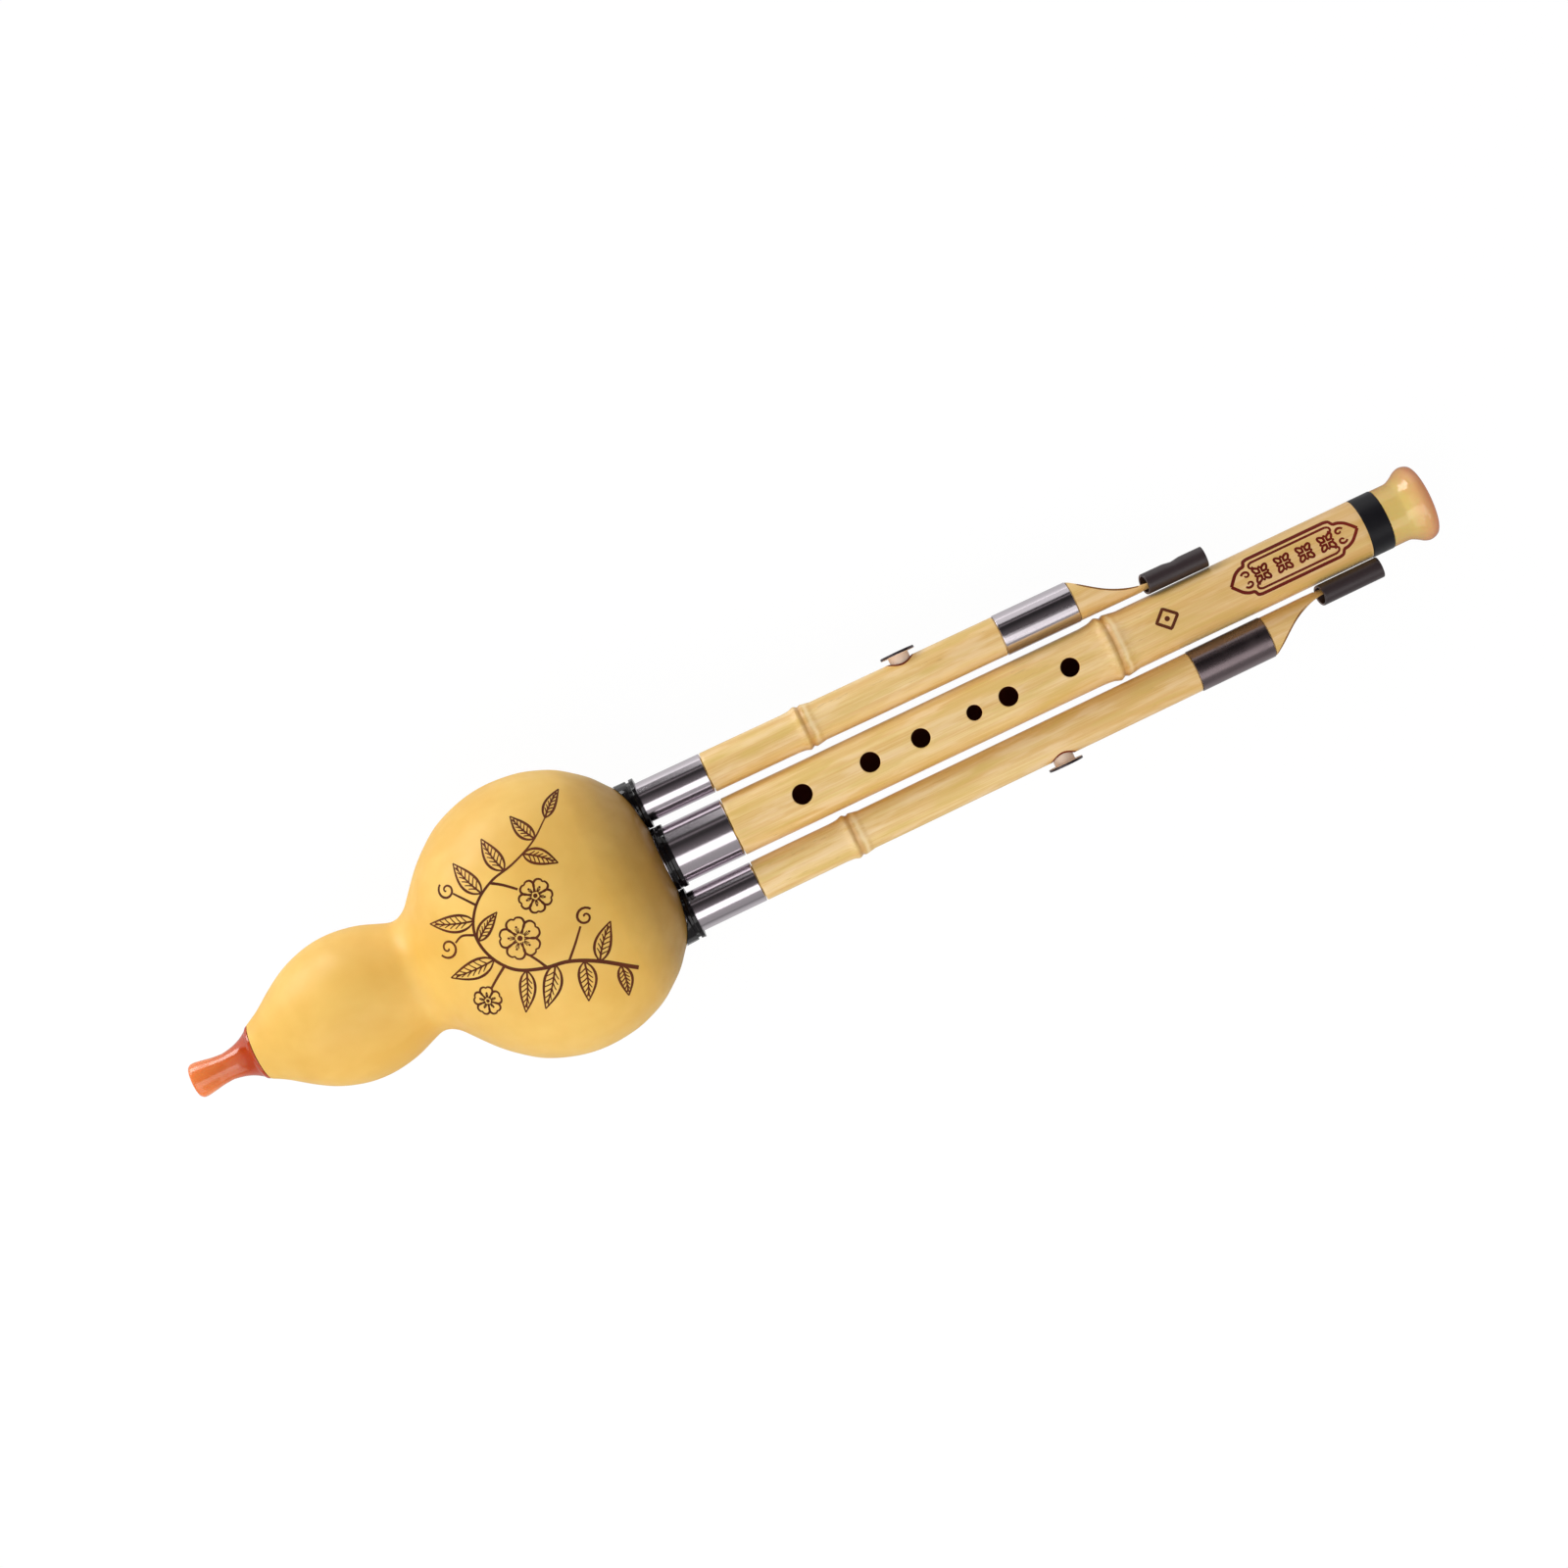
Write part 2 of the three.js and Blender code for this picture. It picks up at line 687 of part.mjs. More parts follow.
function droneGroup(spec) {
  const group = new THREE.Group();
  group.position.set(0, spec.side * spacing, 0);
  group.rotation.z = -spec.side * toeIn;
  group.updateMatrix();
  const parting = [{ place: spec.side * partingPlace, outwards: -spec.side }];
  const toDrone = group.matrix.clone().invert();
  group.add(
    piece(`${spec.name}_collar`, collarRing(drone, toDrone, parting), finishes.blackPlastic),
    piece(`${spec.name}_socket`, socketTube(drone), finishes.chrome),
    piece(`${spec.name}_pipe`, dronePipe(spec), finishes.bamboo),
    piece(`${spec.name}_tenon`, tenonTube(drone), finishes.brass),
    piece(`${spec.name}_reed_seat`, reedSeat(drone), finishes.reedSeatPlastic),
    piece(`${spec.name}_reed_plate`, reedPlateSolid(drone), finishes.brass),
    piece(`${spec.name}_band`, bandRing(spec), finishes[spec.bandFinish]),
    piece(`${spec.name}_sleeve`, sleeveTube(spec), finishes.blackSleeve),
    piece(`${spec.name}_stopper`, stopperSolid(spec), finishes.chrome),
  );
  return group;
}

function melodyGroup() {
  const group = new THREE.Group();
  const parting = [1, -1].map((side) => ({ place: side * partingPlace, outwards: side }));
  group.add(
    piece('melody_collar', collarRing(melody, group.matrix, parting), finishes.blackPlastic),
    piece('melody_socket', socketTube(melody), finishes.chrome),
    piece('melody_pipe', melodyPipe(), finishes.bamboo),
    piece('melody_tenon', tenonTube(melody), finishes.brass),
    piece('melody_reed_seat', reedSeat(melody), finishes.reedSeatPlastic),
    piece('melody_reed_plate', reedPlateSolid(melody), finishes.brass),
    piece('bell_ring', bellRing(), finishes.blackPlastic),
    piece('bell', bellBody(), finishes.paleAmber),
  );
  return group;
}

// How far the bell end drops when the big bulb and the bell's rim both touch
// the table: the line that lies on both outlines.
function restTilt() {
  const skin = gourdOutline(0, gourdSkinSteps);
  const slope = (low, high) => Math.atan2(high[1] - low[1], low[0] - high[0]);
  return Math.min(...bellFlare().map((low) => Math.max(...skin.map((high) => slope(low, high)))));
}

const flute = new THREE.Group();
const droneGroups = [upperDrone, lowerDrone].map((spec) => droneGroup(spec));
flute.add(
  piece('gourd', gourdShell(droneGroups.map((group) => group.matrix)), finishes.gourdSkin),
  piece('mouthpiece', mouthpieceBody(), finishes.amber),
  melodyGroup(),
  ...droneGroups,
);
flute.rotation.y = restTilt();

// The origin is the middle of the footprint, on the table.
const hulusi = new THREE.Group();
hulusi.add(flute);
hulusi.updateMatrixWorld(true);
const bounds = new THREE.Box3().setFromObject(hulusi, true);
const middle = bounds.getCenter(new THREE.Vector3());
flute.position.set(-middle.x, -middle.y, -bounds.min.z);

export default hulusi;
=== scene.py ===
"""Looks of a hulusi: gourd wind chest, amber mouthpiece, bamboo melody pipe and two drones.

Each sub-assembly is modelled in a frame of its own, in millimetres: +X along its pipe towards
the bell, +Z out of the finger holes, x = 0 at the mouth of its chrome socket. The frames are
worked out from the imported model's slide axes and its bell mount.
"""
import json
import logging
import math
from dataclasses import dataclass, field, replace
from enum import Enum
from typing import Callable, Iterable, Sequence

import bmesh
import bpy
import numpy as np
from mathutils import Matrix, Vector, noise


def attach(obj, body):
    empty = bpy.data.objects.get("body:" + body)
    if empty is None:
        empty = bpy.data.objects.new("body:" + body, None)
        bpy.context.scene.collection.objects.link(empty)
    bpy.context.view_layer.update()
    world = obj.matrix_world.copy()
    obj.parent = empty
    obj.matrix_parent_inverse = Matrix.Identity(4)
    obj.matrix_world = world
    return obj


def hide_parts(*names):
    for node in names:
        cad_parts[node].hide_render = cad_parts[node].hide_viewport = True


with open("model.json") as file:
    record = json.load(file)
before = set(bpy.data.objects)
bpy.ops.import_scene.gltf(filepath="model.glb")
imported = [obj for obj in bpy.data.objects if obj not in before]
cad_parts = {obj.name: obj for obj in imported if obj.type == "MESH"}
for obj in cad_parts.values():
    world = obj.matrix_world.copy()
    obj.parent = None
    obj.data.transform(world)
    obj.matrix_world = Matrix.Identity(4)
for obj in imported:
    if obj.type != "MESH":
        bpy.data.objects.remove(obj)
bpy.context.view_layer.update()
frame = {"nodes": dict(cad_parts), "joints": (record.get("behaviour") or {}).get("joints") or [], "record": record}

MM = 0.001
# In millimetres: the gap round parts that slide or seat, how far a tool passes what it cuts,
# and a distance that is clear of everything on a pipe
FIT_GAP = 0.3
OVERRUN = 1.0
FAR = 20.0
SHARP_ANGLE = math.radians(36)
ROUNDING_STEPS = 4
WHITE = (1, 1, 1, 1)
DARK = (0, 0, 0, 1)

log = logging.getLogger("hulusi")

Point = tuple[float, float]
Points = tuple[Point, ...]
Outline = Sequence[Point]
Place = tuple[float, float, float]
Colour = tuple[float, float, float, float]
Item = bpy.types.Object
Material = bpy.types.Material
Node = bpy.types.Node
Socket = bpy.types.NodeSocket
Tree = bpy.types.NodeTree
Look = tuple[Socket, Socket | float, Socket]
Wobble = Callable[[np.ndarray], np.ndarray]
Surface = Callable[[float, float], tuple[np.ndarray, np.ndarray]]


class Body(str, Enum):
    """The bodies that move on their own."""

    WIND_CHEST = "wind_chest"
    MELODY = "melody"
    UPPER_DRONE = "upper_drone"
    LOWER_DRONE = "lower_drone"
    UPPER_PLUG = "upper_drone_plug"
    LOWER_PLUG = "lower_drone_plug"


class Slot(str, Enum):
    """The record's material slots."""

    GOURD = "gourd_skin"
    AMBER = "amber"
    PALE_AMBER = "pale_amber"
    BAMBOO = "bamboo"
    BLACK = "black_plastic"
    SLEEVE = "black_sleeve"
    CHROME = "chrome"
    GUNMETAL = "gunmetal"
    BRASS = "brass"
    SEAT = "reed_seat_plastic"


class Side(Enum):
    """Which side of the melody pipe a drone is on, as the sign of its Y."""

    UPPER = 1
    LOWER = -1


# Outlines and meshes


def smooth_step(value: np.ndarray | float) -> np.ndarray | float:
    """Ease from 0 to 1 as value goes from 0 to 1."""
    held = np.clip(value, 0.0, 1.0)
    return held * held * (3 - 2 * held)


def rounded(corners: Sequence[Place], closed: bool, hold: float = 0.15) -> list[Point]:
    """Outline with its corners rounded off, and with points held close to each rounding.

    Args:
        corners: Place, radius and rounding of each corner.
        closed: Whether the last corner joins the first.
        hold: Distance from a corner's rounding to the next point on a long straight.

    Returns:
        The outline's points, in order.
    """
    count = len(corners)
    outline: list[Vector] = []
    for index, (x, r, cut) in enumerate(corners):
        here = Vector((x, r))
        inner = closed or 0 < index < count - 1
        before = Vector(corners[index - 1][:2]) if inner else here
        after = Vector(corners[(index + 1) % count][:2]) if inner else here
        if cut <= 0 or not inner:
            outline.append(here)
            continue
        start = here + (before - here).normalized() * min(cut, (before - here).length / 2)
        end = here + (after - here).normalized() * min(cut, (after - here).length / 2)
        for step in range(ROUNDING_STEPS + 1):
            t = step / ROUNDING_STEPS
            outline.append(start * (1 - t) ** 2 + here * 2 * t * (1 - t) + end * t * t)
    held: list[Point] = []
    last = len(outline) if closed else len(outline) - 1
    for index, here in enumerate(outline):
        held.append((here.x, here.y))
        if index >= last:
            continue
        step_on = outline[(index + 1) % len(outline)] - here
        if step_on.length > 4 * hold:
            near, far = here + step_on.normalized() * hold, here + step_on - step_on.normalized() * hold
            held += [(near.x, near.y), (far.x, far.y)]
    return held


def flowing(points: Sequence[Sequence[float]], per_span: int) -> np.ndarray:
    """Curve through points, its corners eased by neighbouring spans.

    Args:
        points: Points to pass through, of any dimension.
        per_span: Steps between two neighbours.

    Returns:
        The points on the curve, one to a row.
    """
    known = np.asarray(points, float)
    padded = np.vstack([2 * known[0] - known[1], known, 2 * known[-1] - known[-2]])
    spans = []
    for a, b, c, d in zip(padded, padded[1:], padded[2:], padded[3:]):
        t = np.linspace(0, 1, per_span, endpoint=False)[:, None]
        spans.append(0.5 * (2 * b + (c - a) * t + (2 * a - 5 * b + 4 * c - d) * t ** 2
                            + (3 * b - a - 3 * c + d) * t ** 3))
    return np.vstack([*spans, known[-1:]])


def pairs(points: Iterable[Sequence[float]]) -> list[Point]:
    """Rows of two numbers as plain points."""
    return [(float(x), float(y)) for x, y in points]


def curve(points: Sequence[Sequence[float]], steps: int = 8) -> list[Point]:
    """A smooth line through points, with so many steps between two neighbours."""
    return pairs(flowing(points, steps))


def distances(path: np.ndarray) -> np.ndarray:
    """How far along a path each of its points lies."""
    return np.concatenate([[0], np.cumsum(np.hypot(*np.diff(path, axis=0).T))])


def even_path(path: np.ndarray, count: int) -> np.ndarray:
    """A path as so many evenly spaced points."""
    run = distances(path)
    even = np.linspace(0, run[-1], count)
    return np.stack([np.interp(even, run, axis) for axis in path.T], axis=1)


def stretch(shares: Outline, start: Point, end: Point) -> list[Point]:
    """Stations between two others, by shares of the way and of the step in radius.

    Args:
        shares: Shares of both; a radius share of 1 is the larger radius.
        start: Place and radius at one end.
        end: Place and radius at the other.

    Returns:
        The stations.
    """
    small, rise = min(start[1], end[1]), abs(start[1] - end[1])
    return [(start[0] + (end[0] - start[0]) * along, small + rise * share) for along, share in shares]


@dataclass
class Skin:
    """Points and faces of one mesh while it is being made, in millimetres."""

    points: list[np.ndarray] = field(default_factory=list)
    count: int = 0
    faces: list[tuple[int, ...]] = field(default_factory=list)
    tints: list[int] = field(default_factory=list)

    def add(self, points: np.ndarray) -> np.ndarray:
        """Take points in and give their numbers back."""
        self.points.append(np.asarray(points, float))
        first = self.count
        self.count += len(points)
        return np.arange(first, self.count)

    def bridge(self, near: Sequence[int], far: Sequence[int], tint: int = 0) -> None:
        """Join two closed rings of as many points, or a ring and a single point."""
        if len(near) == 1 or len(far) == 1:
            tip, ring = (near[0], far) if len(near) == 1 else (far[0], near)
            for a, b in zip(ring, np.roll(ring, -1)):
                self.face((a, b, tip), tint)
            return
        for a, b, c, d in zip(near, np.roll(near, -1), np.roll(far, -1), far):
            self.face((a, b, c, d), tint)

    def sweep(self, rings: Sequence[np.ndarray], tint: int = 0) -> None:
        """Join each ring to the next."""
        for near, far in zip(rings, rings[1:]):
            self.bridge(near, far, tint)

    def face(self, corners: Iterable[int], tint: int = 0) -> None:
        """Add one face."""
        self.faces.append(tuple(int(corner) for corner in corners))
        self.tints.append(tint)

    def pick(self, tint: int, chosen: Callable[[np.ndarray], bool]) -> "Skin":
        """Give another tint to the faces whose middle is chosen."""
        points = np.vstack(self.points)
        for index, corners in enumerate(self.faces):
            if chosen(points[list(corners)].mean(axis=0)):
                self.tints[index] = tint
        return self

    def mesh(self, name: str) -> bpy.types.Mesh:
        """Make the mesh, in metres, with its faces turned out and its real edges sharp."""
        mesh = bpy.data.meshes.new(name)
        mesh.from_pydata((np.vstack(self.points) * MM).tolist(), [], self.faces)
        mesh.polygons.foreach_set("material_index", self.tints)
        turn_out(mesh)
        mesh.shade_smooth()
        mesh.set_sharp_from_angle(angle=SHARP_ANGLE)
        return mesh


def turn_out(mesh: bpy.types.Mesh) -> None:
    """Turn all faces of a closed mesh outwards."""
    work = bmesh.new()
    work.from_mesh(mesh)
    bmesh.ops.recalc_face_normals(work, faces=work.faces)
    work.to_mesh(mesh)
    work.free()


def ring_points(x: float | np.ndarray, radius: float | np.ndarray, count: int) -> np.ndarray:
    """Points round +X, from the front (+Z) towards +Y."""
    turn = np.arange(count) * (2 * math.pi / count)
    return np.stack([np.broadcast_to(x, count), radius * np.sin(turn), radius * np.cos(turn)], axis=1)


def turned(outline: Outline, count: int, wobble: Wobble | None = None) -> Skin:
    """Round body about +X.

    Args:
        outline: Place and radius of each point; it closes on itself, or starts and ends on the axis.
        count: Points in a ring.
        wobble: Moves a ring's points a little, for a natural surface.

    Returns:
        The body's skin.
    """
    skin = Skin()
    rings = []
    for x, radius in outline:
        points = ring_points(x, radius, count) if radius > 0 else np.array([[x, 0.0, 0.0]])
        rings.append(skin.add(wobble(points) if wobble and radius > 0 else points))
    skin.sweep(rings)
    if outline[0][1] > 0:
        skin.bridge(rings[-1], rings[0])
    return skin


def bar(radius: float, start: float, end: float, count: int) -> Skin:
    """Solid bar about +X, for cutting."""
    return turned([(start, 0), (start, radius), (end, radius), (end, 0)], count)


def tube(start: float, end: float, outer: float, inner: float, cuts: Sequence[float]) -> list[Point]:
    """Outline of a tube's wall.

    Args:
        start: Where the tube starts.
        end: Where it ends.
        outer: Its outer radius.
        inner: Its inner radius.
        cuts: Rounding of its corners, from the outer one at the start on round by its end.

    Returns:
        The closed outline.
    """
    corners = ((start, outer), (end, outer), (end, inner), (start, inner))
    return rounded([(*corner, cut) for corner, cut in zip(corners, cuts)], True)


def prism(outline: Outline, low: float, high: float, upright: bool = True) -> Skin:
    """Outline drawn out square to itself.

    Args:
        outline: Corners in X and Y, or in X and Z.
        low: Where it starts on the third axis.
        high: Where it ends.
        upright: Drawn in X and Y and out along Z; otherwise drawn in X and Z and out along Y.

    Returns:
        The closed body.
    """
    skin = Skin()
    rings = []
    for depth in (low, high):
        flat = [(x, side, depth) if upright else (x, depth, side) for x, side in outline]
        rings.append(skin.add(np.array(flat)))
    skin.bridge(*rings)
    skin.face(rings[0][::-1])
    skin.face(rings[1])
    return skin


def moved(skin: Skin, matrix: Matrix) -> Skin:
    """The skin with its points taken through a matrix, in millimetres."""
    turn = np.array(matrix.to_3x3())
    shift = np.array(matrix.translation)
    skin.points = [points @ turn.T + shift for points in skin.points]
    return skin


def cut_away(body: Item, tools: Sequence[Skin], bare: Material | None) -> None:
    """Cut tools out of a body.

    Args:
        body: The body, before it is put in its place.
        tools: What to cut away.
        bare: The material of the faces that the cut leaves, where it has one of its own.
    """
    for tool in tools:
        cutter = linked("cutter", tool.mesh("cutter"))
        if bare is not None:
            cutter.data.materials.append(bare)
        step = body.modifiers.new("cut", "BOOLEAN")
        step.operation = "DIFFERENCE"
        step.solver = "EXACT"
        step.object = cutter
        step.material_mode = "TRANSFER" if bare is not None else "INDEX"
        settle(body)
        bpy.data.objects.remove(cutter)
    if tools:
        body.data.shade_smooth()
        body.data.set_sharp_from_angle(angle=SHARP_ANGLE)


def settle(piece: Item) -> None:
    """Make a piece's modifiers part of its mesh."""
    bpy.context.view_layer.update()
    graph = bpy.context.evaluated_depsgraph_get()
    done = bpy.data.meshes.new_from_object(piece.evaluated_get(graph))
    piece.modifiers.clear()
    piece.data = done


def linked(name: str, data: bpy.types.ID) -> Item:
    """A new object in the scene."""
    item = bpy.data.objects.new(name, data)
    bpy.context.scene.collection.objects.link(item)
    return item


# Frames and placing


BELL_FACE = 238.8
SPACING = 18.75


def instrument_frame() -> Matrix:
    """The instrument's own frame in the world, from the melody pipe's slide and the bell's mount."""
    along = slide_axis("melody_tuning_slide")
    mount = next(m for m in frame["record"]["mounts"] if m["name"] == "bell_mouth_face")
    across = Vector((0, 1, 0))
    face = Vector(mount["pos_m"])
    origin = face - across * face.y - along * BELL_FACE * MM
    return framed(along, across, origin)


def slide_axis(joint: str) -> Vector:
    """The direction that a joint slides in."""
    return Vector(next(j["axis"] for j in frame["joints"] if j["name"] == joint)).normalized()


def framed(along: Vector, across: Vector, origin: Vector) -> Matrix:
    """A frame from its X axis, roughly its Y axis and its origin."""
    out = along.cross(across).normalized()
    turn = Matrix((along, out.cross(along), out)).transposed()
    return Matrix.Translation(origin) @ turn.to_4x4()


SEAT = instrument_frame()


# Finishes


class Wiring:
    """Places and links the nodes of one tree."""

    def __init__(self, tree: Tree) -> None:
        """Start on a tree, with its nodes cleared away."""
        self.tree = tree
        tree.nodes.clear()
        self.column = 0

    def node(self, kind: str, **settings: object) -> Node:
        """Place a node and set its properties."""
        placed = self.tree.nodes.new(kind)
        placed.location = (self.column * 180, 0)
        self.column += 1
        for name, value in settings.items():
            setattr(placed, name, value)
        return placed

    def feed(self, socket: Socket, value: object) -> None:
        """Link another socket in, or set a value."""
        if isinstance(value, Socket):
            self.tree.links.new(value, socket)
        else:
            socket.default_value = value

    def sum(self, operation: str, *values: object, clamp: bool = False) -> Socket:
        """Work a sum out of numbers or sockets."""
        node = self.node("ShaderNodeMath", operation=operation, use_clamp=clamp)
        for socket, value in zip(node.inputs, values):
            self.feed(socket, value)
        return node.outputs[0]

    def times(self, first: object, second: object) -> Socket:
        """The product of two numbers or sockets."""
        return self.sum("MULTIPLY", first, second)

    def blend(self, share: object, first: object, second: object, mode: str = "MIX") -> Socket:
        """Blend two colours by a share."""
        node = self.node("ShaderNodeMix", data_type="RGBA", blend_type=mode)
        for name, value in (("Factor_Float", share), ("A_Color", first), ("B_Color", second)):
            self.feed(next(s for s in node.inputs if s.identifier == name), value)
        return next(s for s in node.outputs if s.identifier == "Result_Color")

    def spread(self, value: object, low: object, high: object, to_low: object = 0.0,
               to_high: object = 1.0) -> Socket:
        """Stretch a range of values over another, held at its ends."""
        node = self.node("ShaderNodeMapRange")
        for socket, given in zip(node.inputs, (value, low, high, to_low, to_high)):
            self.feed(socket, given)
        return node.outputs[0]

    def stripe(self, value: object, middle: float, core: float, edge: float, strength: float) -> Socket:
        """Full strength where a value is close to a middle, out to a core, and none past an edge."""
        away = self.sum("ABSOLUTE", self.sum("SUBTRACT", value, middle))
        return self.spread(away, core, edge, strength, 0.0)

    def axes(self, vector: object) -> tuple[Socket, Socket, Socket]:
        """The three parts of a vector."""
        node = self.node("ShaderNodeSeparateXYZ")
        self.feed(node.inputs[0], vector)
        return node.outputs[0], node.outputs[1], node.outputs[2]

    def seen(self, path: Node) -> Socket:
        """Whether a light path comes from the camera, straight or through clear resin."""
        return self.sum("MAXIMUM", path.outputs["Is Camera Ray"], path.outputs["Is Transmission Ray"])

    def local(self, stretch: Place) -> Socket:
        """Places in the instrument's frame, in millimetres, divided by a size along each axis."""
        where = self.node("ShaderNodeTexCoord")
        turn = self.node("ShaderNodeMapping")
        back = SEAT.inverted()
        turn.inputs["Rotation"].default_value = back.to_euler("XYZ")
        turn.inputs["Location"].default_value = back.translation
        self.feed(turn.inputs["Vector"], where.outputs["Object"])
        scale = self.node("ShaderNodeMapping")
        scale.inputs["Scale"].default_value = [1 / (MM * size) for size in stretch]
        self.feed(scale.inputs["Vector"], turn.outputs[0])
        return scale.outputs[0]

    def clouds(self, size: Place, detail: float, rough: float = 0.5, warp: float = 0) -> Socket:
        """Soft noise with features about as large as a size along each axis, in millimetres."""
        node = self.node("ShaderNodeTexNoise")
        self.feed(node.inputs["Vector"], self.local(size))
        for name, value in (("Scale", 1), ("Detail", detail), ("Roughness", rough), ("Distortion", warp)):
            self.feed(node.inputs[name], value)
        return node.outputs["Fac"]


def effect(name: str, inputs: dict[str, Colour | float], outputs: dict[str, str]
           ) -> tuple[Tree, Wiring, bpy.types.NodeOutputs, bpy.types.NodeInputs]:
    """Start a node group that several finishes share.

    Args:
        name: The group's name.
        inputs: Name and opening value of each input.
        outputs: Name and socket type of each output.

    Returns:
        The group, its wiring, the sockets that it is given and those that it gives out.
    """
    group = bpy.data.node_groups.new(name, "ShaderNodeTree")
    for label, value in inputs.items():
        kind = COLOR if isinstance(value, tuple) else VALUE
        group.interface.new_socket(name=label, in_out="INPUT", socket_type=kind).default_value = value
    for label, kind in outputs.items():
        group.interface.new_socket(name=label, in_out="OUTPUT", socket_type=kind)
    wiring = Wiring(group)
    return group, wiring, wiring.node("NodeGroupInput").outputs, wiring.node("NodeGroupOutput").inputs


COLOR, VALUE = "NodeSocketColor", "NodeSocketFloat"


def grain_effect() -> Tree:
    """Long fibres of bamboo: fine streaks, broad bands and a few brown flecks."""
    group, wiring, given, out = effect(
        "long_grain", {"Light": WHITE, "Dark": DARK, "Fleck": DARK, "Streaks": 0.5, "Flecks": 0.5},
        {"Color": COLOR, "Height": VALUE, "Wear": VALUE})
    streaks = given["Streaks"]
    fine = wiring.clouds((34, 0.34, 0.34), detail=2)
    broad = wiring.clouds((70, 2.6, 2.6), detail=3, warp=0.3)
    cloud = wiring.clouds((24, 9, 9), detail=2)
    streak = wiring.spread(wiring.sum("ADD", wiring.times(fine, streaks), broad),
                           wiring.sum("MULTIPLY_ADD", streaks, 0.38, 0.4),
                           wiring.sum("MULTIPLY_ADD", streaks, 0.6, 0.6))
    tone = wiring.blend(wiring.sum("MULTIPLY_ADD", streak, 0.65, wiring.times(cloud, 0.35)),
                        given["Light"], given["Dark"])
    spots = wiring.clouds((5, 0.55, 0.55), detail=4, rough=0.65)
    patch = wiring.clouds((30, 6, 6), detail=1)
    fleck = wiring.times(wiring.spread(spots, 0.6, 0.72), wiring.spread(patch, 0.5, 0.66))
    wiring.feed(out["Color"], wiring.blend(
        wiring.times(fleck, given["Flecks"]), tone, given["Fleck"]))
    wiring.feed(out["Height"], wiring.sum("MULTIPLY_ADD", fine, 0.7, wiring.times(broad, 0.3)))
    wiring.feed(out["Wear"], cloud)
    return group


def mottle_effect() -> Tree:
    """Soft clouds of two colours, with fine pores."""
    group, wiring, given, out = effect(
        "mottle", {"Light": WHITE, "Dark": DARK, "Reach": 1.0},
        {"Color": COLOR, "Height": VALUE, "Wear": VALUE})
    wide = wiring.clouds((26, 26, 26), detail=3, warp=0.4)
    close = wiring.clouds((6, 6, 6), detail=4)
    cloud = wiring.sum("ADD", wiring.spread(wide, 0.35, 0.65), wiring.times(close, 0.5))
    share = wiring.times(wiring.spread(cloud, 0.1, 1.2), given["Reach"])
    wiring.feed(out["Color"], wiring.blend(share, given["Light"], given["Dark"]))
    pores = wiring.clouds((0.6, 0.6, 0.6), detail=3)
    wiring.feed(out["Height"], wiring.sum("MULTIPLY_ADD", pores, 0.35, close))
    wiring.feed(out["Wear"], close)
    return group


def handling_effect() -> Tree:
    """Marks of handling on a polished surface: smudges and fine scratches along the piece."""
    group, wiring, given, out = effect(
        "handling", {"Clean": 0.1, "Smudged": 0.25}, {"Roughness": VALUE, "Height": VALUE})
    smudge = wiring.clouds((7, 5, 5), detail=4, rough=0.6, warp=0.5)
    scratch = wiring.clouds((6, 0.12, 0.12), detail=2)
    marks = wiring.sum("ADD", wiring.spread(smudge, 0.42, 0.68), wiring.spread(scratch, 0.62, 0.74, 0.0, 0.5),
                       clamp=True)
    wiring.feed(out["Roughness"],
                wiring.spread(marks, 0.0, 1.0, given["Clean"], given["Smudged"]))
    wiring.feed(out["Height"], scratch)
    return group


def edge_effect() -> Tree:
    """Where a piece's edges are rubbed, broken up by noise."""
    group, wiring, given, out = effect("edge_wear", {"Amount": 1.0}, {"Mask": VALUE})
    edge = wiring.node("ShaderNodeNewGeometry")
    sharp = wiring.spread(edge.outputs["Pointiness"], 0.53, 0.6)
    broken = wiring.spread(wiring.clouds((1.6, 1.6, 1.6), detail=4), 0.4, 0.6)
    wiring.feed(out["Mask"], wiring.times(
        wiring.times(sharp, broken), given["Amount"]))
    return group


def tint(red: int, green: int, blue: int) -> Colour:
    """A colour as a screen shows it, made linear for a shader."""
    def linear(level: int) -> float:
        share = level / 255
        return share / 12.92 if share <= 0.04045 else ((share + 0.055) / 1.055) ** 2.4
    return (linear(red), linear(green), linear(blue), 1.0)


@dataclass
class Effects:
    """The shared node groups, each built once."""

    grain: Tree = field(default_factory=grain_effect)
    mottle: Tree = field(default_factory=mottle_effect)
    handling: Tree = field(default_factory=handling_effect)
    edge: Tree = field(default_factory=edge_effect)


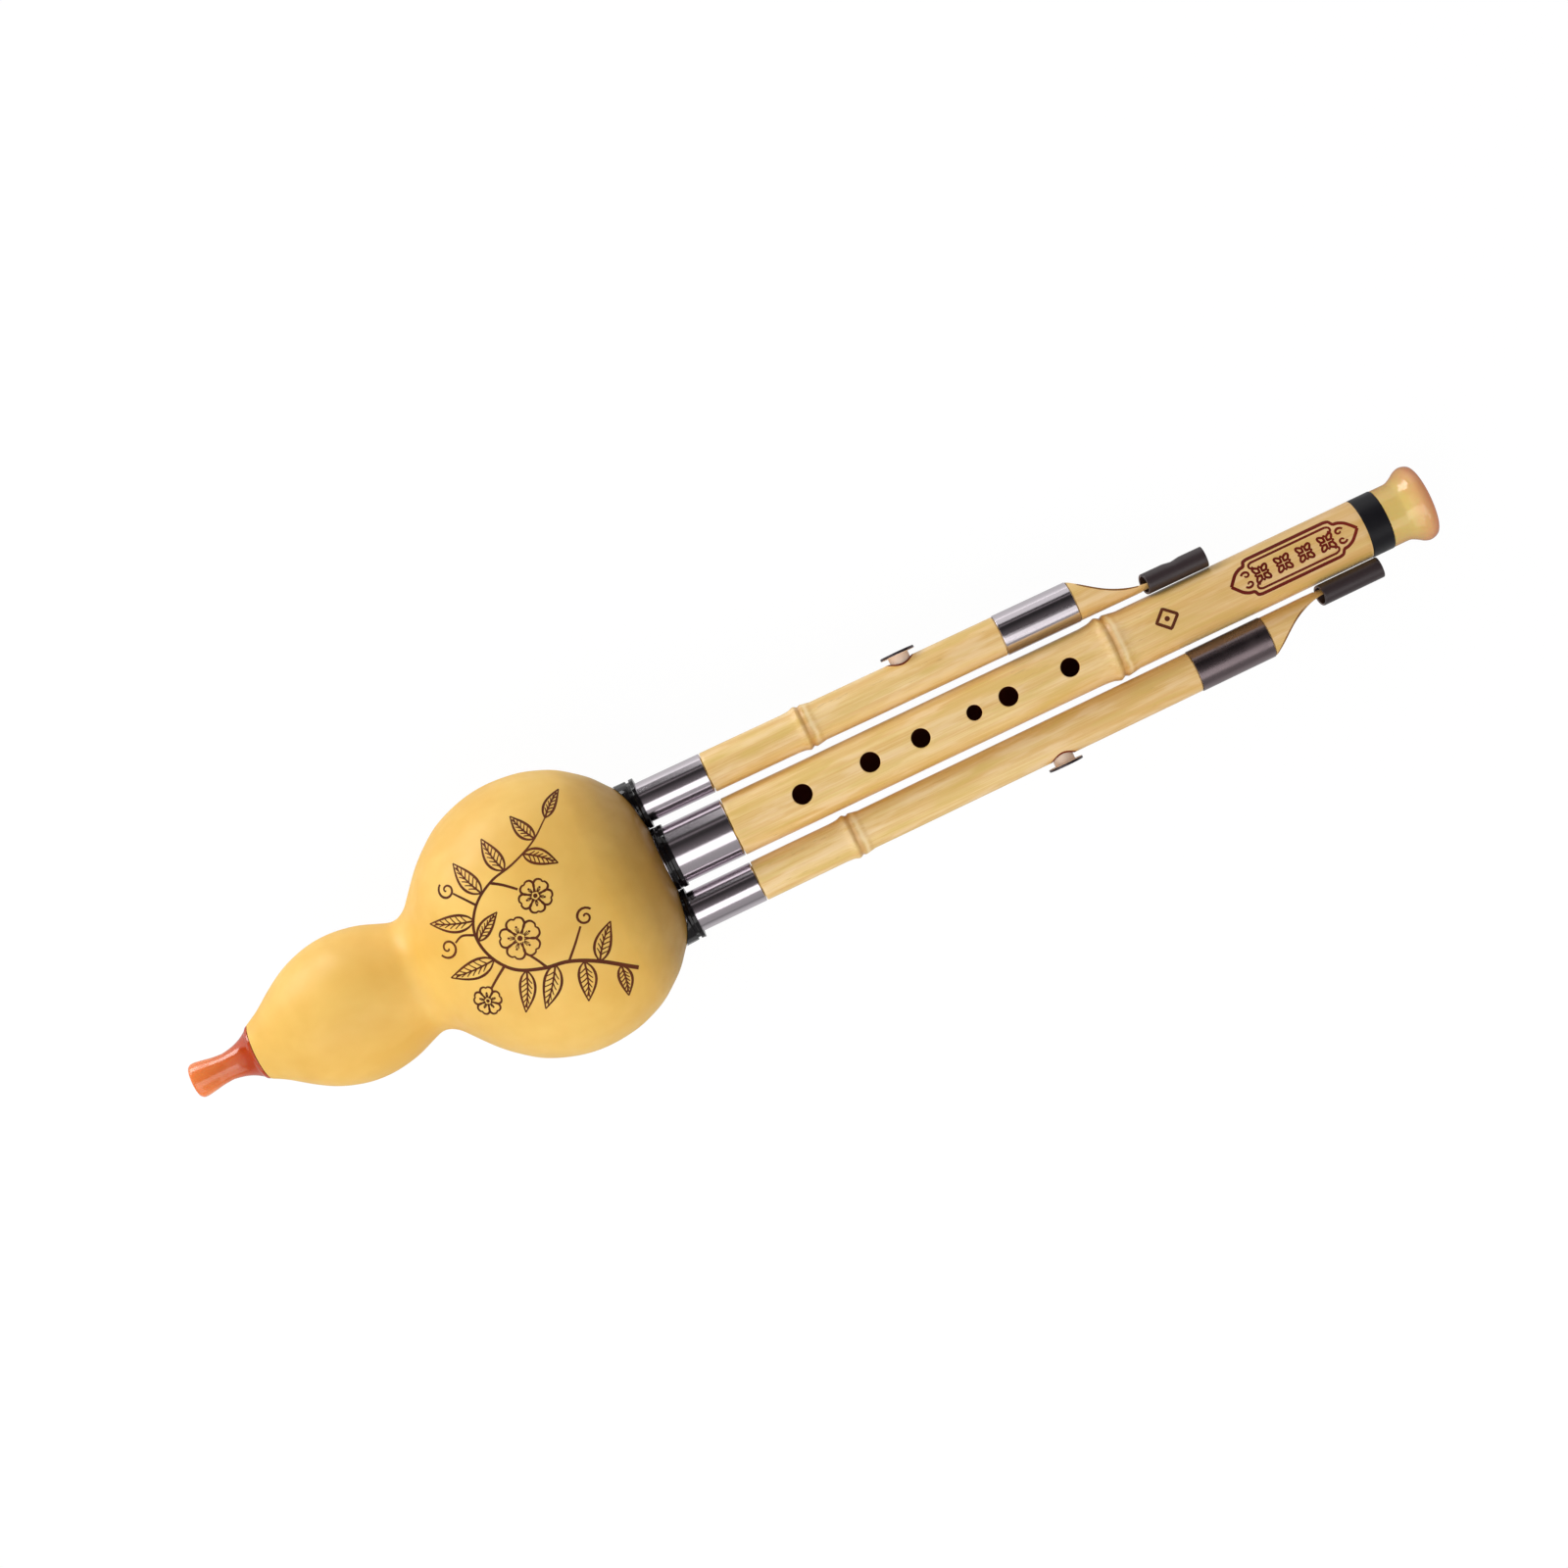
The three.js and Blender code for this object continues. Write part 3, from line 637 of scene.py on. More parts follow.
@dataclass(frozen=True)
class Finish:
    """What every finish has: a name, its slot and the values that are even all over it."""

    name: str
    slot: Slot
    roughness: float = 0.4
    metallic: float = 0.0
    coat: float = 0.0
    coat_roughness: float = 0.1
    coat_ior: float = 1.5
    coat_tint: Colour = WHITE
    subsurface: float = 0.0
    depth: float = 0.002
    ior: float = 1.5
    shine: float = 0.5
    relief: float = 0.04

    def make(self, effects: Effects) -> Material:
        """Build the material, with the shared effects."""
        material = bpy.data.materials.new(self.name)
        material.use_nodes = True
        wiring = Wiring(material.node_tree)
        out = wiring.node("ShaderNodeOutputMaterial")
        shader = wiring.node("ShaderNodeBsdfPrincipled")
        wiring.feed(out.inputs["Surface"], shader.outputs[0])
        colour, roughness, height = self.surface(wiring, effects)
        bump = wiring.node("ShaderNodeBump")
        bump.inputs["Distance"].default_value = self.relief * MM
        wiring.feed(bump.inputs["Height"], height)
        values = {"Base Color": colour, "Roughness": roughness, "Normal": bump.outputs[0],
                  "Metallic": self.metallic, "IOR": self.ior, "Specular IOR Level": self.shine,
                  "Coat Weight": self.coat, "Coat Roughness": self.coat_roughness, "Coat IOR": self.coat_ior,
                  "Coat Tint": self.coat_tint, "Subsurface Weight": self.subsurface,
                  "Subsurface Scale": self.depth}
        for name, value in values.items():
            wiring.feed(shader.inputs[name], value)
        return material

    def surface(self, wiring: Wiring, effects: Effects) -> Look:
        """Colour, roughness and height over the surface, which each kind of finish works out."""
        raise NotImplementedError

    def placed(self, wiring: Wiring, group: Tree, **values: object) -> bpy.types.NodeOutputs:
        """Place a shared effect and set its inputs."""
        node = wiring.node("ShaderNodeGroup", node_tree=group)
        for name, value in values.items():
            wiring.feed(node.inputs[name], value)
        return node.outputs

    def rubbed(self, wiring: Wiring, wear: Socket, less: float, more: float) -> Socket:
        """Roughness that follows the wear, from a little less to a little more than its own."""
        return wiring.spread(wear, 0.3, 0.7, self.roughness - less, self.roughness + more)


@dataclass(frozen=True)
class Bamboo(Finish):
    """Lacquered bamboo with long grain, a browner groove at its joint with a painted highlight on the crest past
    it, and a browner far end.
    """

    light: Colour = tint(250, 219, 151)
    dark: Colour = tint(230, 180, 101)
    aged: Colour = tint(206, 148, 74)
    fleck: Colour = tint(150, 96, 44)
    rosy: Colour = tint(255, 222, 170)
    straw: Colour = tint(226, 190, 96)
    groove: Colour = tint(190, 132, 54)
    # ridge: the colour of the painted highlight on the crest past the joint's groove
    ridge: Colour = tint(255, 228, 176)
    tinge: float = 0.55
    joint: float = 0.0
    sway: float = 1.6
    age_start: float = 60.0
    age_end: float = 210.0
    age_most: float = 0.3
    relief: float = 0.05

    def surface(self, wiring: Wiring, effects: Effects) -> Look:
        """Grain, lighter and yellower patches, the joint's groove, a painted highlight on its crest, and age."""
        grain = self.placed(wiring, effects.grain, Light=self.light, Dark=self.dark, Fleck=self.fleck,
                            Streaks=0.8, Flecks=0.55)
        along, _, _ = wiring.axes(wiring.local((1, 1, 1)))
        past = wiring.sum("SUBTRACT", along, self.joint)
        drift = wiring.sum("SUBTRACT", wiring.clouds((40, 5, 5), detail=2), 0.5)
        past = wiring.sum("MULTIPLY_ADD", drift, self.sway, past)
        groove = wiring.sum("MAXIMUM", wiring.stripe(past, 0.0, 0.3, 1.5, 0.6),
                            wiring.stripe(past, 3.3, 0.1, 1.0, 0.15))
        # Painted highlight: a pale band on the crest just past the groove.
        crest_highlight = wiring.stripe(past, 2.0, 0.1, 0.9, 0.6)
        age = wiring.spread(along, self.age_start, self.age_end, 0.0, self.age_most)
        patches = wiring.clouds((20, 3.5, 3.5), detail=3)
        colour = grain["Color"]
        for share, other in ((wiring.spread(patches, 0.52, 0.64, 0.0, self.tinge), self.rosy),
                             (wiring.spread(patches, 0.36, 0.48, self.tinge, 0.0), self.straw),
                             (age, self.aged), (groove, self.groove), (crest_highlight, self.ridge)):
            colour = wiring.blend(share, colour, other)
        return colour, self.rubbed(wiring, grain["Wear"], 0.06, 0.1), grain["Height"]


@dataclass(frozen=True, kw_only=True)
class Mottled(Finish):
    """A surface with soft clouds of two colours: the gourd's skin, resin and moulded plastic."""

    light: Colour
    dark: Colour
    reach: float = 1.0
    # rim: a colour blended in towards one end; painted shade on the gourd's base, partly painted glow on the
    # mouthpiece, the resin's own tone on the bell
    rim: Colour | None = None
    rim_start: float = 0.0
    rim_end: float = 1.0

    def surface(self, wiring: Wiring, effects: Effects) -> Look:
        """Clouds, and another colour towards one end where it has a rim: painted shade on the gourd, and partly
        painted glow on the mouthpiece.
        """
        mottle = self.placed(wiring, effects.mottle, Light=self.light, Dark=self.dark, Reach=self.reach)
        colour = mottle["Color"]
        if self.rim is not None:
            along, _, _ = wiring.axes(wiring.local((1, 1, 1)))
            drift = wiring.sum("MULTIPLY_ADD", mottle["Wear"], 2.0, along)
            colour = wiring.blend(wiring.spread(drift, self.rim_start, self.rim_end), colour, self.rim)
        return colour, self.rubbed(wiring, mottle["Wear"], 0.05, 0.08), mottle["Height"]


@dataclass(frozen=True, kw_only=True)
class Polished(Finish):
    """Plated or plain metal, and satin black, with marks of handling and rubbed edges."""

    colour: Colour
    smudged: float
    worn: Colour = tint(235, 232, 236)
    wear: float = 0.5
    relief: float = 0.004

    def surface(self, wiring: Wiring, effects: Effects) -> Look:
        """One colour, paler on rubbed edges, with smudges and scratches."""
        marks = self.placed(wiring, effects.handling, Clean=self.roughness, Smudged=self.smudged)
        edge = self.placed(wiring, effects.edge, Amount=self.wear)
        return wiring.blend(edge["Mask"], self.colour, self.worn), marks["Roughness"], marks["Height"]


@dataclass(frozen=True, kw_only=True)
class LinesAndShade(Finish):
    """Lines burnt or inked into the surface, and the painted shade of holes and bores."""

    deep: Colour
    pale: Colour
    reach: float = 0.8
    relief: float = 0.03

    def surface(self, wiring: Wiring, effects: Effects) -> Look:
        """Clouds of a deep and a paler colour."""
        mottle = self.placed(wiring, effects.mottle, Light=self.deep, Dark=self.pale, Reach=self.reach)
        return mottle["Color"], self.roughness, mottle["Height"]


# The rim colour is painted shade: the skin turns dark brown towards the base by the collars, where it faces away
# from the lights.
GOURD_SKIN = Mottled(
    "gourd_satin", Slot.GOURD, roughness=0.42, shine=0.36, subsurface=0.08, light=tint(246, 201, 106),
    dark=tint(236, 186, 87), rim=tint(106, 60, 2), rim_start=-41, rim_end=-18)
# Deep orange towards the shoulder and paler towards the tip: the resin's own tone, and painted glow of light
# through the thin tip.
ORANGE_RESIN = Mottled(
    "orange_resin", Slot.AMBER, roughness=0.16, ior=1.6, shine=0.6, subsurface=0.2,
    light=tint(252, 154, 92), dark=tint(232, 116, 44), reach=0.9, relief=0.01, rim=tint(184, 62, 12),
    rim_start=-182, rim_end=-166)
OLIVE_RESIN = Mottled(
    "olive_resin", Slot.PALE_AMBER, roughness=0.13, ior=1.65, shine=0.8, coat=1.0, coat_ior=1.06,
    coat_tint=(0.84, 0.72, 0.68, 1), subsurface=0.2, depth=0.003, light=tint(255, 240, 150),
    dark=tint(255, 226, 132), reach=0.6, relief=0.01, rim=tint(255, 184, 142), rim_start=232.5,
    rim_end=240)
LACQUERED = Bamboo(
    "bamboo", Slot.BAMBOO, roughness=0.36, coat=0.3, coat_roughness=0.25)
CUT_BAMBOO = Bamboo(
    "bamboo_cut", Slot.BAMBOO, roughness=0.6, light=tint(196, 146, 84), dark=tint(120, 74, 34),
    joint=-999, tinge=0.0)
# Painted shade: the dark brown of the hole walls, the whole bore and the ring round each stopper's hole stands in
# for the shade there.
PAINTED_HOLE_SHADE = LinesAndShade(
    "burnt_hole", Slot.BAMBOO, roughness=0.7, shine=0.1, deep=tint(110, 46, 24), pale=tint(140, 62, 34))
BURNT_LINE = LinesAndShade(
    "burnt_line", Slot.GOURD, roughness=0.6, shine=0.15, deep=tint(78, 34, 16), pale=tint(112, 56, 28))
BURNT_MARK = replace(BURNT_LINE, name="burnt_mark", slot=Slot.BAMBOO)
CUT_LINE = LinesAndShade(
    "cut_line", Slot.BAMBOO, roughness=0.6, shine=0.2, deep=tint(112, 70, 30), pale=tint(158, 108, 54))
RED_LINE = LinesAndShade(
    "red_line", Slot.BAMBOO, roughness=0.5, shine=0.15, deep=tint(98, 20, 10), pale=tint(128, 36, 20))
GLOSS_BLACK = Mottled(
    "gloss_black", Slot.BLACK, roughness=0.3, coat=0.7, coat_roughness=0.06, shine=0.1,
    light=tint(14, 10, 13), dark=tint(7, 5, 7), relief=0.2)
SATIN_BLACK = Polished(
    "satin_black", Slot.BLACK, roughness=0.34, smudged=0.44, shine=0.25, colour=tint(25, 24, 28),
    worn=tint(60, 54, 56))
CHARCOAL = Polished(
    "satin_charcoal", Slot.SLEEVE, roughness=0.33, smudged=0.42, shine=0.6, colour=tint(56, 44, 46),
    worn=tint(90, 78, 80))
CHARCOAL_RIM = Polished(
    "charcoal_rim", Slot.SLEEVE, roughness=0.5, smudged=0.6, shine=0.35, colour=tint(132, 120, 118),
    worn=tint(170, 158, 156))
BRIGHT_PLATE = Polished(
    "bright_plate", Slot.CHROME, roughness=0.16, smudged=0.175, metallic=1, relief=0.001,
    colour=tint(222, 214, 220))
WARM_PLATE = Polished(
    "warm_plate", Slot.CHROME, roughness=0.34, smudged=0.45, metallic=0.1, colour=tint(252, 226, 202))
DARK_RIM = Polished(
    "dark_rim", Slot.CHROME, roughness=0.3, smudged=0.42, metallic=0.9, colour=tint(96, 88, 92))
# The lower band is the upper band's chrome given a darker colour: painted shade for the weaker light that reaches
# it.
SHADED_CHROME = Polished(
    "dark_plate", Slot.GUNMETAL, roughness=0.26, smudged=0.34, metallic=1, colour=tint(138, 124, 127),
    worn=tint(190, 180, 186))
PLAIN_BRASS = Polished(
    "brass", Slot.BRASS, roughness=0.22, smudged=0.4, metallic=1, colour=tint(214, 172, 88),
    worn=tint(240, 210, 140))
IVORY = Mottled(
    "ivory_plastic", Slot.SEAT, roughness=0.5, light=tint(234, 226, 206), dark=tint(222, 210, 184))


@dataclass
class Palette:
    """The finishes made into materials, each one once."""

    effects: Effects = field(default_factory=Effects)
    made: dict[str, Material] = field(default_factory=dict)

    def material(self, finish: Finish) -> Material:
        """The material of a finish."""
        if finish.name not in self.made:
            self.made[finish.name] = finish.make(self.effects)
        return self.made[finish.name]


@dataclass
class Assembly:
    """What every sub-assembly has: the frame it is made in, its body and the finishes."""

    seat: Matrix
    body: Body
    palette: Palette

    def put(self, name: str, skin: Skin, finishes: Sequence[Finish], *nodes: str,
            tools: Sequence[Skin] = (), bare: Finish | None = None) -> None:
        """Place a piece on this assembly's body, with its finishes as its materials.

        Args:
            name: The piece's name.
            skin: Its skin, in millimetres in this assembly's frame.
            finishes: Its finishes, in the order of its faces' tints.
            nodes: The CAD nodes that it stands for.
            tools: What is cut away from it.
            bare: The finish of the faces that the cuts leave, where it has one of its own.
        """
        piece = linked(name, skin.mesh(name))
        for finish in finishes:
            piece.data.materials.append(self.palette.material(finish))
        cut_away(piece, tools, bare and self.palette.material(bare))
        piece.data.transform(self.seat)
        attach(piece, self.body.value)
        if nodes:
            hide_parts(*nodes)
        log.info("%s: %d faces, rides on %s", name, len(piece.data.polygons), self.body.value)


# Gourd and mouthpiece


@dataclass
class Gourd(Assembly):
    """The dried bottle gourd that is the wind chest."""

    base: float = -22.9
    big_place: float = -64.2
    waist_place: float = -108.3
    small_place: float = -129.9
    stem_place: float = -163.5
    big_radius: float = 45.3
    waist_radius: float = 18.8
    small_radius: float = 24.1
    stem_radius: float = 9.5
    wall: float = 4.0
    neck_bore: float = 6.3
    base_to_big_shares: Points = (
        (0, 0), (0.044, 0.405), (0.086, 0.536), (0.174, 0.635), (0.248, 0.72), (0.324, 0.783),
        (0.474, 0.884), (0.624, 0.945), (0.774, 0.983), (1, 1))
    big_to_waist_shares: Points = (
        (0.205, 0.955), (0.413, 0.831), (0.551, 0.68), (0.688, 0.481), (0.826, 0.218), (0.9, 0.079), (1, 0))
    waist_to_small_shares: Points = ((0.215, 0.26), (0.5, 0.7), (0.785, 0.935), (1, 1))
    small_to_stem_shares: Points = (
        (0.16, 0.975), (0.33, 0.88), (0.5, 0.724), (0.682, 0.471), (0.863, 0.175), (1, 0))
    around: int = 192
    steps: int = 12
    easing: int = 10
    inner_every: int = 3
    socket_sides: int = 96
    inset: float = 0.0015
    unevenness: float = 0.004
    hollow_size: float = 30.0

    def __post_init__(self) -> None:
        """Work the skin's outline out, from base to stem."""
        base, big = (self.base, 0), (self.big_place, self.big_radius)
        waist, small = (self.waist_place, self.waist_radius), (self.small_place, self.small_radius)
        stem = (self.stem_place, self.stem_radius)
        stations = [
            *stretch(self.base_to_big_shares, base, big),
            *stretch(self.big_to_waist_shares, big, waist),
            *stretch(self.waist_to_small_shares, waist, small),
            *stretch(self.small_to_stem_shares, small, stem)]
        self.outline = self.eased(flowing(stations, self.steps))

    def eased(self, outline: np.ndarray) -> np.ndarray:
        """The outline on even steps, with its small kinks eased away from its ends."""
        points = even_path(outline, len(outline))
        for _ in range(self.easing):
            points[2:-1] = (points[1:-2] + 2 * points[2:-1] + points[3:]) / 4
        return points

    def radius_at(self, x: np.ndarray | float) -> np.ndarray | float:
        """The skin's radius at a place between its widest place and the stem."""
        return np.interp(x, self.outline[::-1, 0], self.outline[::-1, 1])

    def base_at(self, radius: np.ndarray | float) -> np.ndarray | float:
        """Where the skin on the base side lies, at a distance from the axis."""
        widest = int(np.argmax(self.outline[:, 1]))
        return np.interp(radius, self.outline[:widest, 1], self.outline[:widest, 0])

    def hollowed(self, x: float, y: float, z: float) -> float:
        """What the skin's distance from the axis is multiplied by, to hollow it here and there."""
        hollow = noise.noise(Vector((x, y, z)) / self.hollow_size) * 0.5 + 0.5
        return 1 - self.inset - self.unevenness * hollow

    def on_front(self, x: float, y: float) -> tuple[np.ndarray, np.ndarray]:
        """The point and the outward direction of the front skin over a place and side."""
        ahead = 0.5
        radius, further = float(self.radius_at(x)), float(self.radius_at(x + ahead))
        z = math.sqrt(max(radius * radius - y * y, 0.01))
        slope = (further - radius) / ahead
        outward = np.array([-slope, y / radius, z / radius])
        share = self.hollowed(x, y, z)
        return np.array([x, y * share, z * share]), outward / np.linalg.norm(outward)

    def natural(self, points: np.ndarray) -> np.ndarray:
        """Hollow the skin slightly here and there, as on a grown gourd."""
        shares = np.array([self.hollowed(*point) for point in points])
        return np.stack([points[:, 0], points[:, 1] * shares, points[:, 2] * shares], axis=1)

    def shell(self) -> Skin:
        """The skin, the neck's bore and the hollow inside, as one body."""
        ways = np.gradient(self.outline, axis=0)
        ways /= np.linalg.norm(ways, axis=1)[:, None]
        inner = self.outline + np.stack([-ways[:, 1], ways[:, 0]], axis=1) * self.wall
        inner = inner[(inner[:, 1] > self.neck_bore) & (inner[:, 0] < self.base - self.wall)]
        inner = inner[::self.inner_every]
        neck = [(self.stem_place, self.neck_bore), (float(inner[-1, 0]), self.neck_bore)]
        return turned([(self.base, 0), *pairs(self.outline[1:]), *neck, *pairs(inner[::-1]),
                       (self.base - self.wall, 0)], self.around, self.natural)

    def build(self, sockets: Sequence[tuple[Matrix, float]]) -> None:
        """Make the gourd, with a hole in its base for each socket.

        Args:
            sockets: Each pipe's frame, in the gourd's own, and its radius.
        """
        holes = [moved(bar(radius + FIT_GAP, self.base - FAR, 0, self.socket_sides), matrix)
                 for matrix, radius in sockets]
        self.put("gourd_shell", self.shell(), [GOURD_SKIN], "gourd", tools=holes)


@dataclass
class Mouthpiece(Assembly):
    """The turned resin mouthpiece in the gourd's stem."""

    shoulder: float = -163.8
    tip: float = -185.95
    shoulder_radius: float = 9.2
    waist_radius: float = 4.5
    tip_radius: float = 5.65
    bore: float = 2.6
    tenon_radius: float = 6.0
    tenon_end: float = -151.5
    to_waist_shares: Points = (
        (0, 1), (0.035, 0.93), (0.075, 0.72), (0.19, 0.38), (0.325, 0.14), (0.48, 0))
    to_tip_shares: Points = (
        (0.57, 0.05), (0.66, 0.22), (0.775, 0.61), (0.89, 0.97), (0.94, 1), (0.97, 0.9), (1, 0.45))
    around: int = 128

    def build(self) -> None:
        """Make the mouthpiece."""
        shoulder, tip = (self.shoulder, self.shoulder_radius), (self.tip, self.waist_radius)
        drawn = stretch(self.to_waist_shares, shoulder, tip)
        drawn += stretch(self.to_tip_shares, (self.shoulder, self.waist_radius), (self.tip, self.tip_radius))
        inside = rounded([
            (self.tip, self.bore, 0), (self.tenon_end, self.bore, 0),
            (self.tenon_end, self.tenon_radius, 0.3), (self.shoulder, self.tenon_radius, 0)], False)
        mouth = [(self.tip, self.bore + 0.5), (self.tip + 0.15, self.bore + 0.15)]
        outline = [*curve(drawn), *mouth, (self.tip + 0.5, self.bore), *inside[1:]]
        self.put("mouthpiece_turned", turned(outline, self.around), [ORANGE_RESIN], "mouthpiece")


# Pipes


SWELL_SIZE = (22, 7, 7)
# Place along a pipe's end and depth below its surface, for the points of its rounded edge
END_ROUNDING = ((0, 0.22), (0.07, 0.06), (0.25, 0))


def swell_at(*place: float) -> float:
    """How far bamboo has grown out of round at a place, as a share of the most."""
    return noise.noise(Vector([at / size for at, size in zip(place, SWELL_SIZE)]))


def pipe_end(place: float, radius: float, inwards: int) -> list[Point]:
    """The rounded edge of a bamboo's end, from its end inwards: 1 at the start, -1 at the far end."""
    return [(place + inwards * along, radius - depth) for along, depth in END_ROUNDING]


@dataclass(frozen=True)
class Hole:
    """A hole drilled into a pipe: its place, its radius and its side, in degrees from the front to +Y."""

    place: float
    radius: float
    turn: float = 0.0


@dataclass
class PipeWall:
    """A pipe's wall with rounded holes, as one body of even faces."""

    outside: Outline
    inside: Outline
    holes: Sequence[Hole]
    around: int
    patch_steps: int = 11
    grip: float = 1.32
    widest: float = 0.96
    step: float = 1.6
    rim: float = 0.3
    dark_ring: float = 0.0
    sway: float = 0.0
    surface_rows: tuple[float, ...] = (0.3, 0.55, 0.75, 0.9, 1.0)
    rim_bends: tuple[float, ...] = (25, 50, 70, 90)
    wall_rows: tuple[float, ...] = (0.06, 0.35, 0.7, 1.0)
    back_rows: tuple[float, ...] = (0.75, 0.4)

    @property
    def pitch(self) -> float:
        """The angle between two columns of the wall."""
        return 2 * math.pi / self.around

    def span(self, hole: Hole) -> Point:
        """Where the patch round a hole starts and ends."""
        return hole.place - hole.radius * self.grip, hole.place + hole.radius * self.grip

    def stations(self) -> np.ndarray:
        """Places of the rings: the outlines' own, close ones at holes, and none too far apart."""
        spans = [self.span(hole) for hole in self.holes]
        own = {x for x, _ in [*self.outside, *self.inside]}
        places = {x for x in own if not any(low - 0.1 < x < high + 0.1 for low, high in spans)}
        for low, high in spans:
            places |= set(np.linspace(low, high, 2 * self.patch_steps + 1))
        ordered = sorted(places)
        filled = [ordered[0]]
        for start, end in zip(ordered, ordered[1:]):
            count = max(1, math.ceil((end - start) / self.step))
            filled += list(np.linspace(start, end, count + 1)[1:])
        return np.array(filled)

    def outer_at(self, x: np.ndarray | float) -> np.ndarray | float:
        """Outer radius at a place."""
        return np.interp(x, *np.array(self.outside).T)

    def inner_at(self, x: np.ndarray | float) -> np.ndarray | float:
        """Bore radius at a place."""
        return np.interp(x, *np.array(self.inside).T)

    def swayed(self, points: np.ndarray) -> np.ndarray:
        """Points moved a little out of round, as bamboo grows."""
        swayed = points.copy()
        for index, (x, y, z) in enumerate(points):
            swayed[index, 1:] *= 1 + swell_at(x, y, z) * self.sway / max(math.hypot(y, z), 1)
        return swayed

    def build(self) -> Skin:
        """Make the wall."""
        skin = Skin()
        places = self.stations()
        outer = [skin.add(self.swayed(ring_points(x, self.outer_at(x), self.around))) for x in places]
        inner = [skin.add(ring_points(x, self.inner_at(x), self.around)) for x in places]
        patches = [self.patch(hole, places) for hole in self.holes]
        for index in range(len(places) - 1):
            for column in range(self.around):
                if any(self.covers(patch, index, column) for patch in patches):
                    continue
                beside = (column + 1) % self.around
                skin.face((outer[index][column], outer[index][beside],
                           outer[index + 1][beside], outer[index + 1][column]))
                # The bore's faces take the second finish, its painted shade.
                skin.face((inner[index][column], inner[index + 1][column],
                           inner[index + 1][beside], inner[index][beside]), 1)
        skin.bridge(outer[0], inner[0])
        skin.bridge(outer[-1], inner[-1])
        for hole, patch in zip(self.holes, patches):
            self.drill(skin, hole, patch, places, outer, inner)
        return skin

    def patch(self, hole: Hole, places: np.ndarray) -> tuple[int, int, int, int]:
        """The rings and columns that a hole's patch takes: first and last of each."""
        low, high = self.span(hole)
        rows = np.flatnonzero((places > low - 1e-6) & (places < high + 1e-6))
        reach = min(hole.radius * self.grip / float(self.inner_at(hole.place)), self.widest)
        half = math.ceil(math.asin(reach) / self.pitch)
        middle = round(math.radians(hole.turn) / self.pitch)
        return int(rows[0]), int(rows[-1]), middle - half, middle + half

    def covers(self, patch: tuple[int, int, int, int], row: int, column: int) -> bool:
        """Whether a grid cell lies in a patch."""
        first, last, left, right = patch
        return first <= row < last and (column - left) % self.around < right - left

    def drill(self, skin: Skin, hole: Hole, patch: tuple[int, int, int, int], places: np.ndarray,
              outer: Sequence[np.ndarray], inner: Sequence[np.ndarray]) -> None:
        """Fill a hole's patch outside and inside, round its rim over and line its wall."""
        first, last, left, right = patch
        loop = [(row, left) for row in range(first, last)]
        loop += [(last, column) for column in range(left, right)]
        loop += [(row, right) for row in range(last, first, -1)]
        loop += [(first, column) for column in range(right, left, -1)]
        turn = math.radians(hole.turn)
        angles = np.array([column * self.pitch - turn for _, column in loop])
        along = np.array([places[row] for row, _ in loop]) - hole.place
        edge_out = np.stack([along, self.outer_at(along + hole.place) * np.sin(angles)], axis=1)
        edge_in = np.stack([along, self.inner_at(along + hole.place) * np.sin(angles)], axis=1)
        heading = np.arctan2(edge_out[:, 1], edge_out[:, 0])
        circle = np.stack([np.cos(heading), np.sin(heading)], axis=1)
        rings = [np.array([outer[row][column % self.around] for row, column in loop])]
        wide = circle * (hole.radius + self.rim + self.dark_ring)
        for share in self.surface_rows:
            rings.append(self.lay(skin, hole, edge_out * (1 - share) + wide * share, self.outer_at, 0))
        clean = len(rings)
        # Painted shade: a darker ring round the hole, in the second finish.
        if self.dark_ring > 0:
            rings.append(self.lay(skin, hole, circle * (hole.radius + self.rim), self.outer_at, 0))
        for bend in np.radians(self.rim_bends):
            round_off = circle * (hole.radius + self.rim * (1 - math.sin(bend)))
            rings.append(self.lay(skin, hole, round_off, self.outer_at, -self.rim * (1 - math.cos(bend))))
        skin.sweep(rings[:clean])
        skin.sweep(rings[clean - 1:], int(self.dark_ring > 0))
        straight = circle * hole.radius
        wall = [rings[-1]]
        top = self.heights(hole, straight, self.outer_at) - self.rim
        low = self.heights(hole, straight, self.inner_at)
        for share in self.wall_rows:
            wall.append(self.stand(skin, hole, straight, top * (1 - share) + low * share))
        # The hole's wall and the bore round it take the second finish, its painted shade.
        skin.sweep(wall, 1)
        back = [wall[-1]]
        for share in self.back_rows:
            back.append(self.lay(skin, hole, edge_in * (1 - share) + straight * share, self.inner_at, 0))
        back.append(np.array([inner[row][column % self.around] for row, column in loop]))
        skin.sweep(back, 1)

    def heights(self, hole: Hole, flat: np.ndarray, radius_at: Callable) -> np.ndarray:
        """Heights of a round surface over points in the hole's own plane."""
        return np.sqrt(np.maximum(radius_at(flat[:, 0] + hole.place) ** 2 - flat[:, 1] ** 2, 0.01))

    def lay(self, skin: Skin, hole: Hole, flat: np.ndarray, radius_at: Callable, lift: float) -> np.ndarray:
        """Lay a ring on a round surface, lifted along the hole."""
        outside = radius_at == self.outer_at
        return self.stand(skin, hole, flat, self.heights(hole, flat, radius_at) + lift, outside)

    def stand(self, skin: Skin, hole: Hole, flat: np.ndarray, height: np.ndarray,
              outside: bool = False) -> np.ndarray:
        """Take in a ring at given heights along the hole."""
        sine, cosine = math.sin(math.radians(hole.turn)), math.cos(math.radians(hole.turn))
        x = flat[:, 0] + hole.place
        y = flat[:, 1] * cosine + height * sine
        z = height * cosine - flat[:, 1] * sine
        points = np.stack([x, y, z], axis=1)
        return skin.add(self.swayed(points) if outside else points)


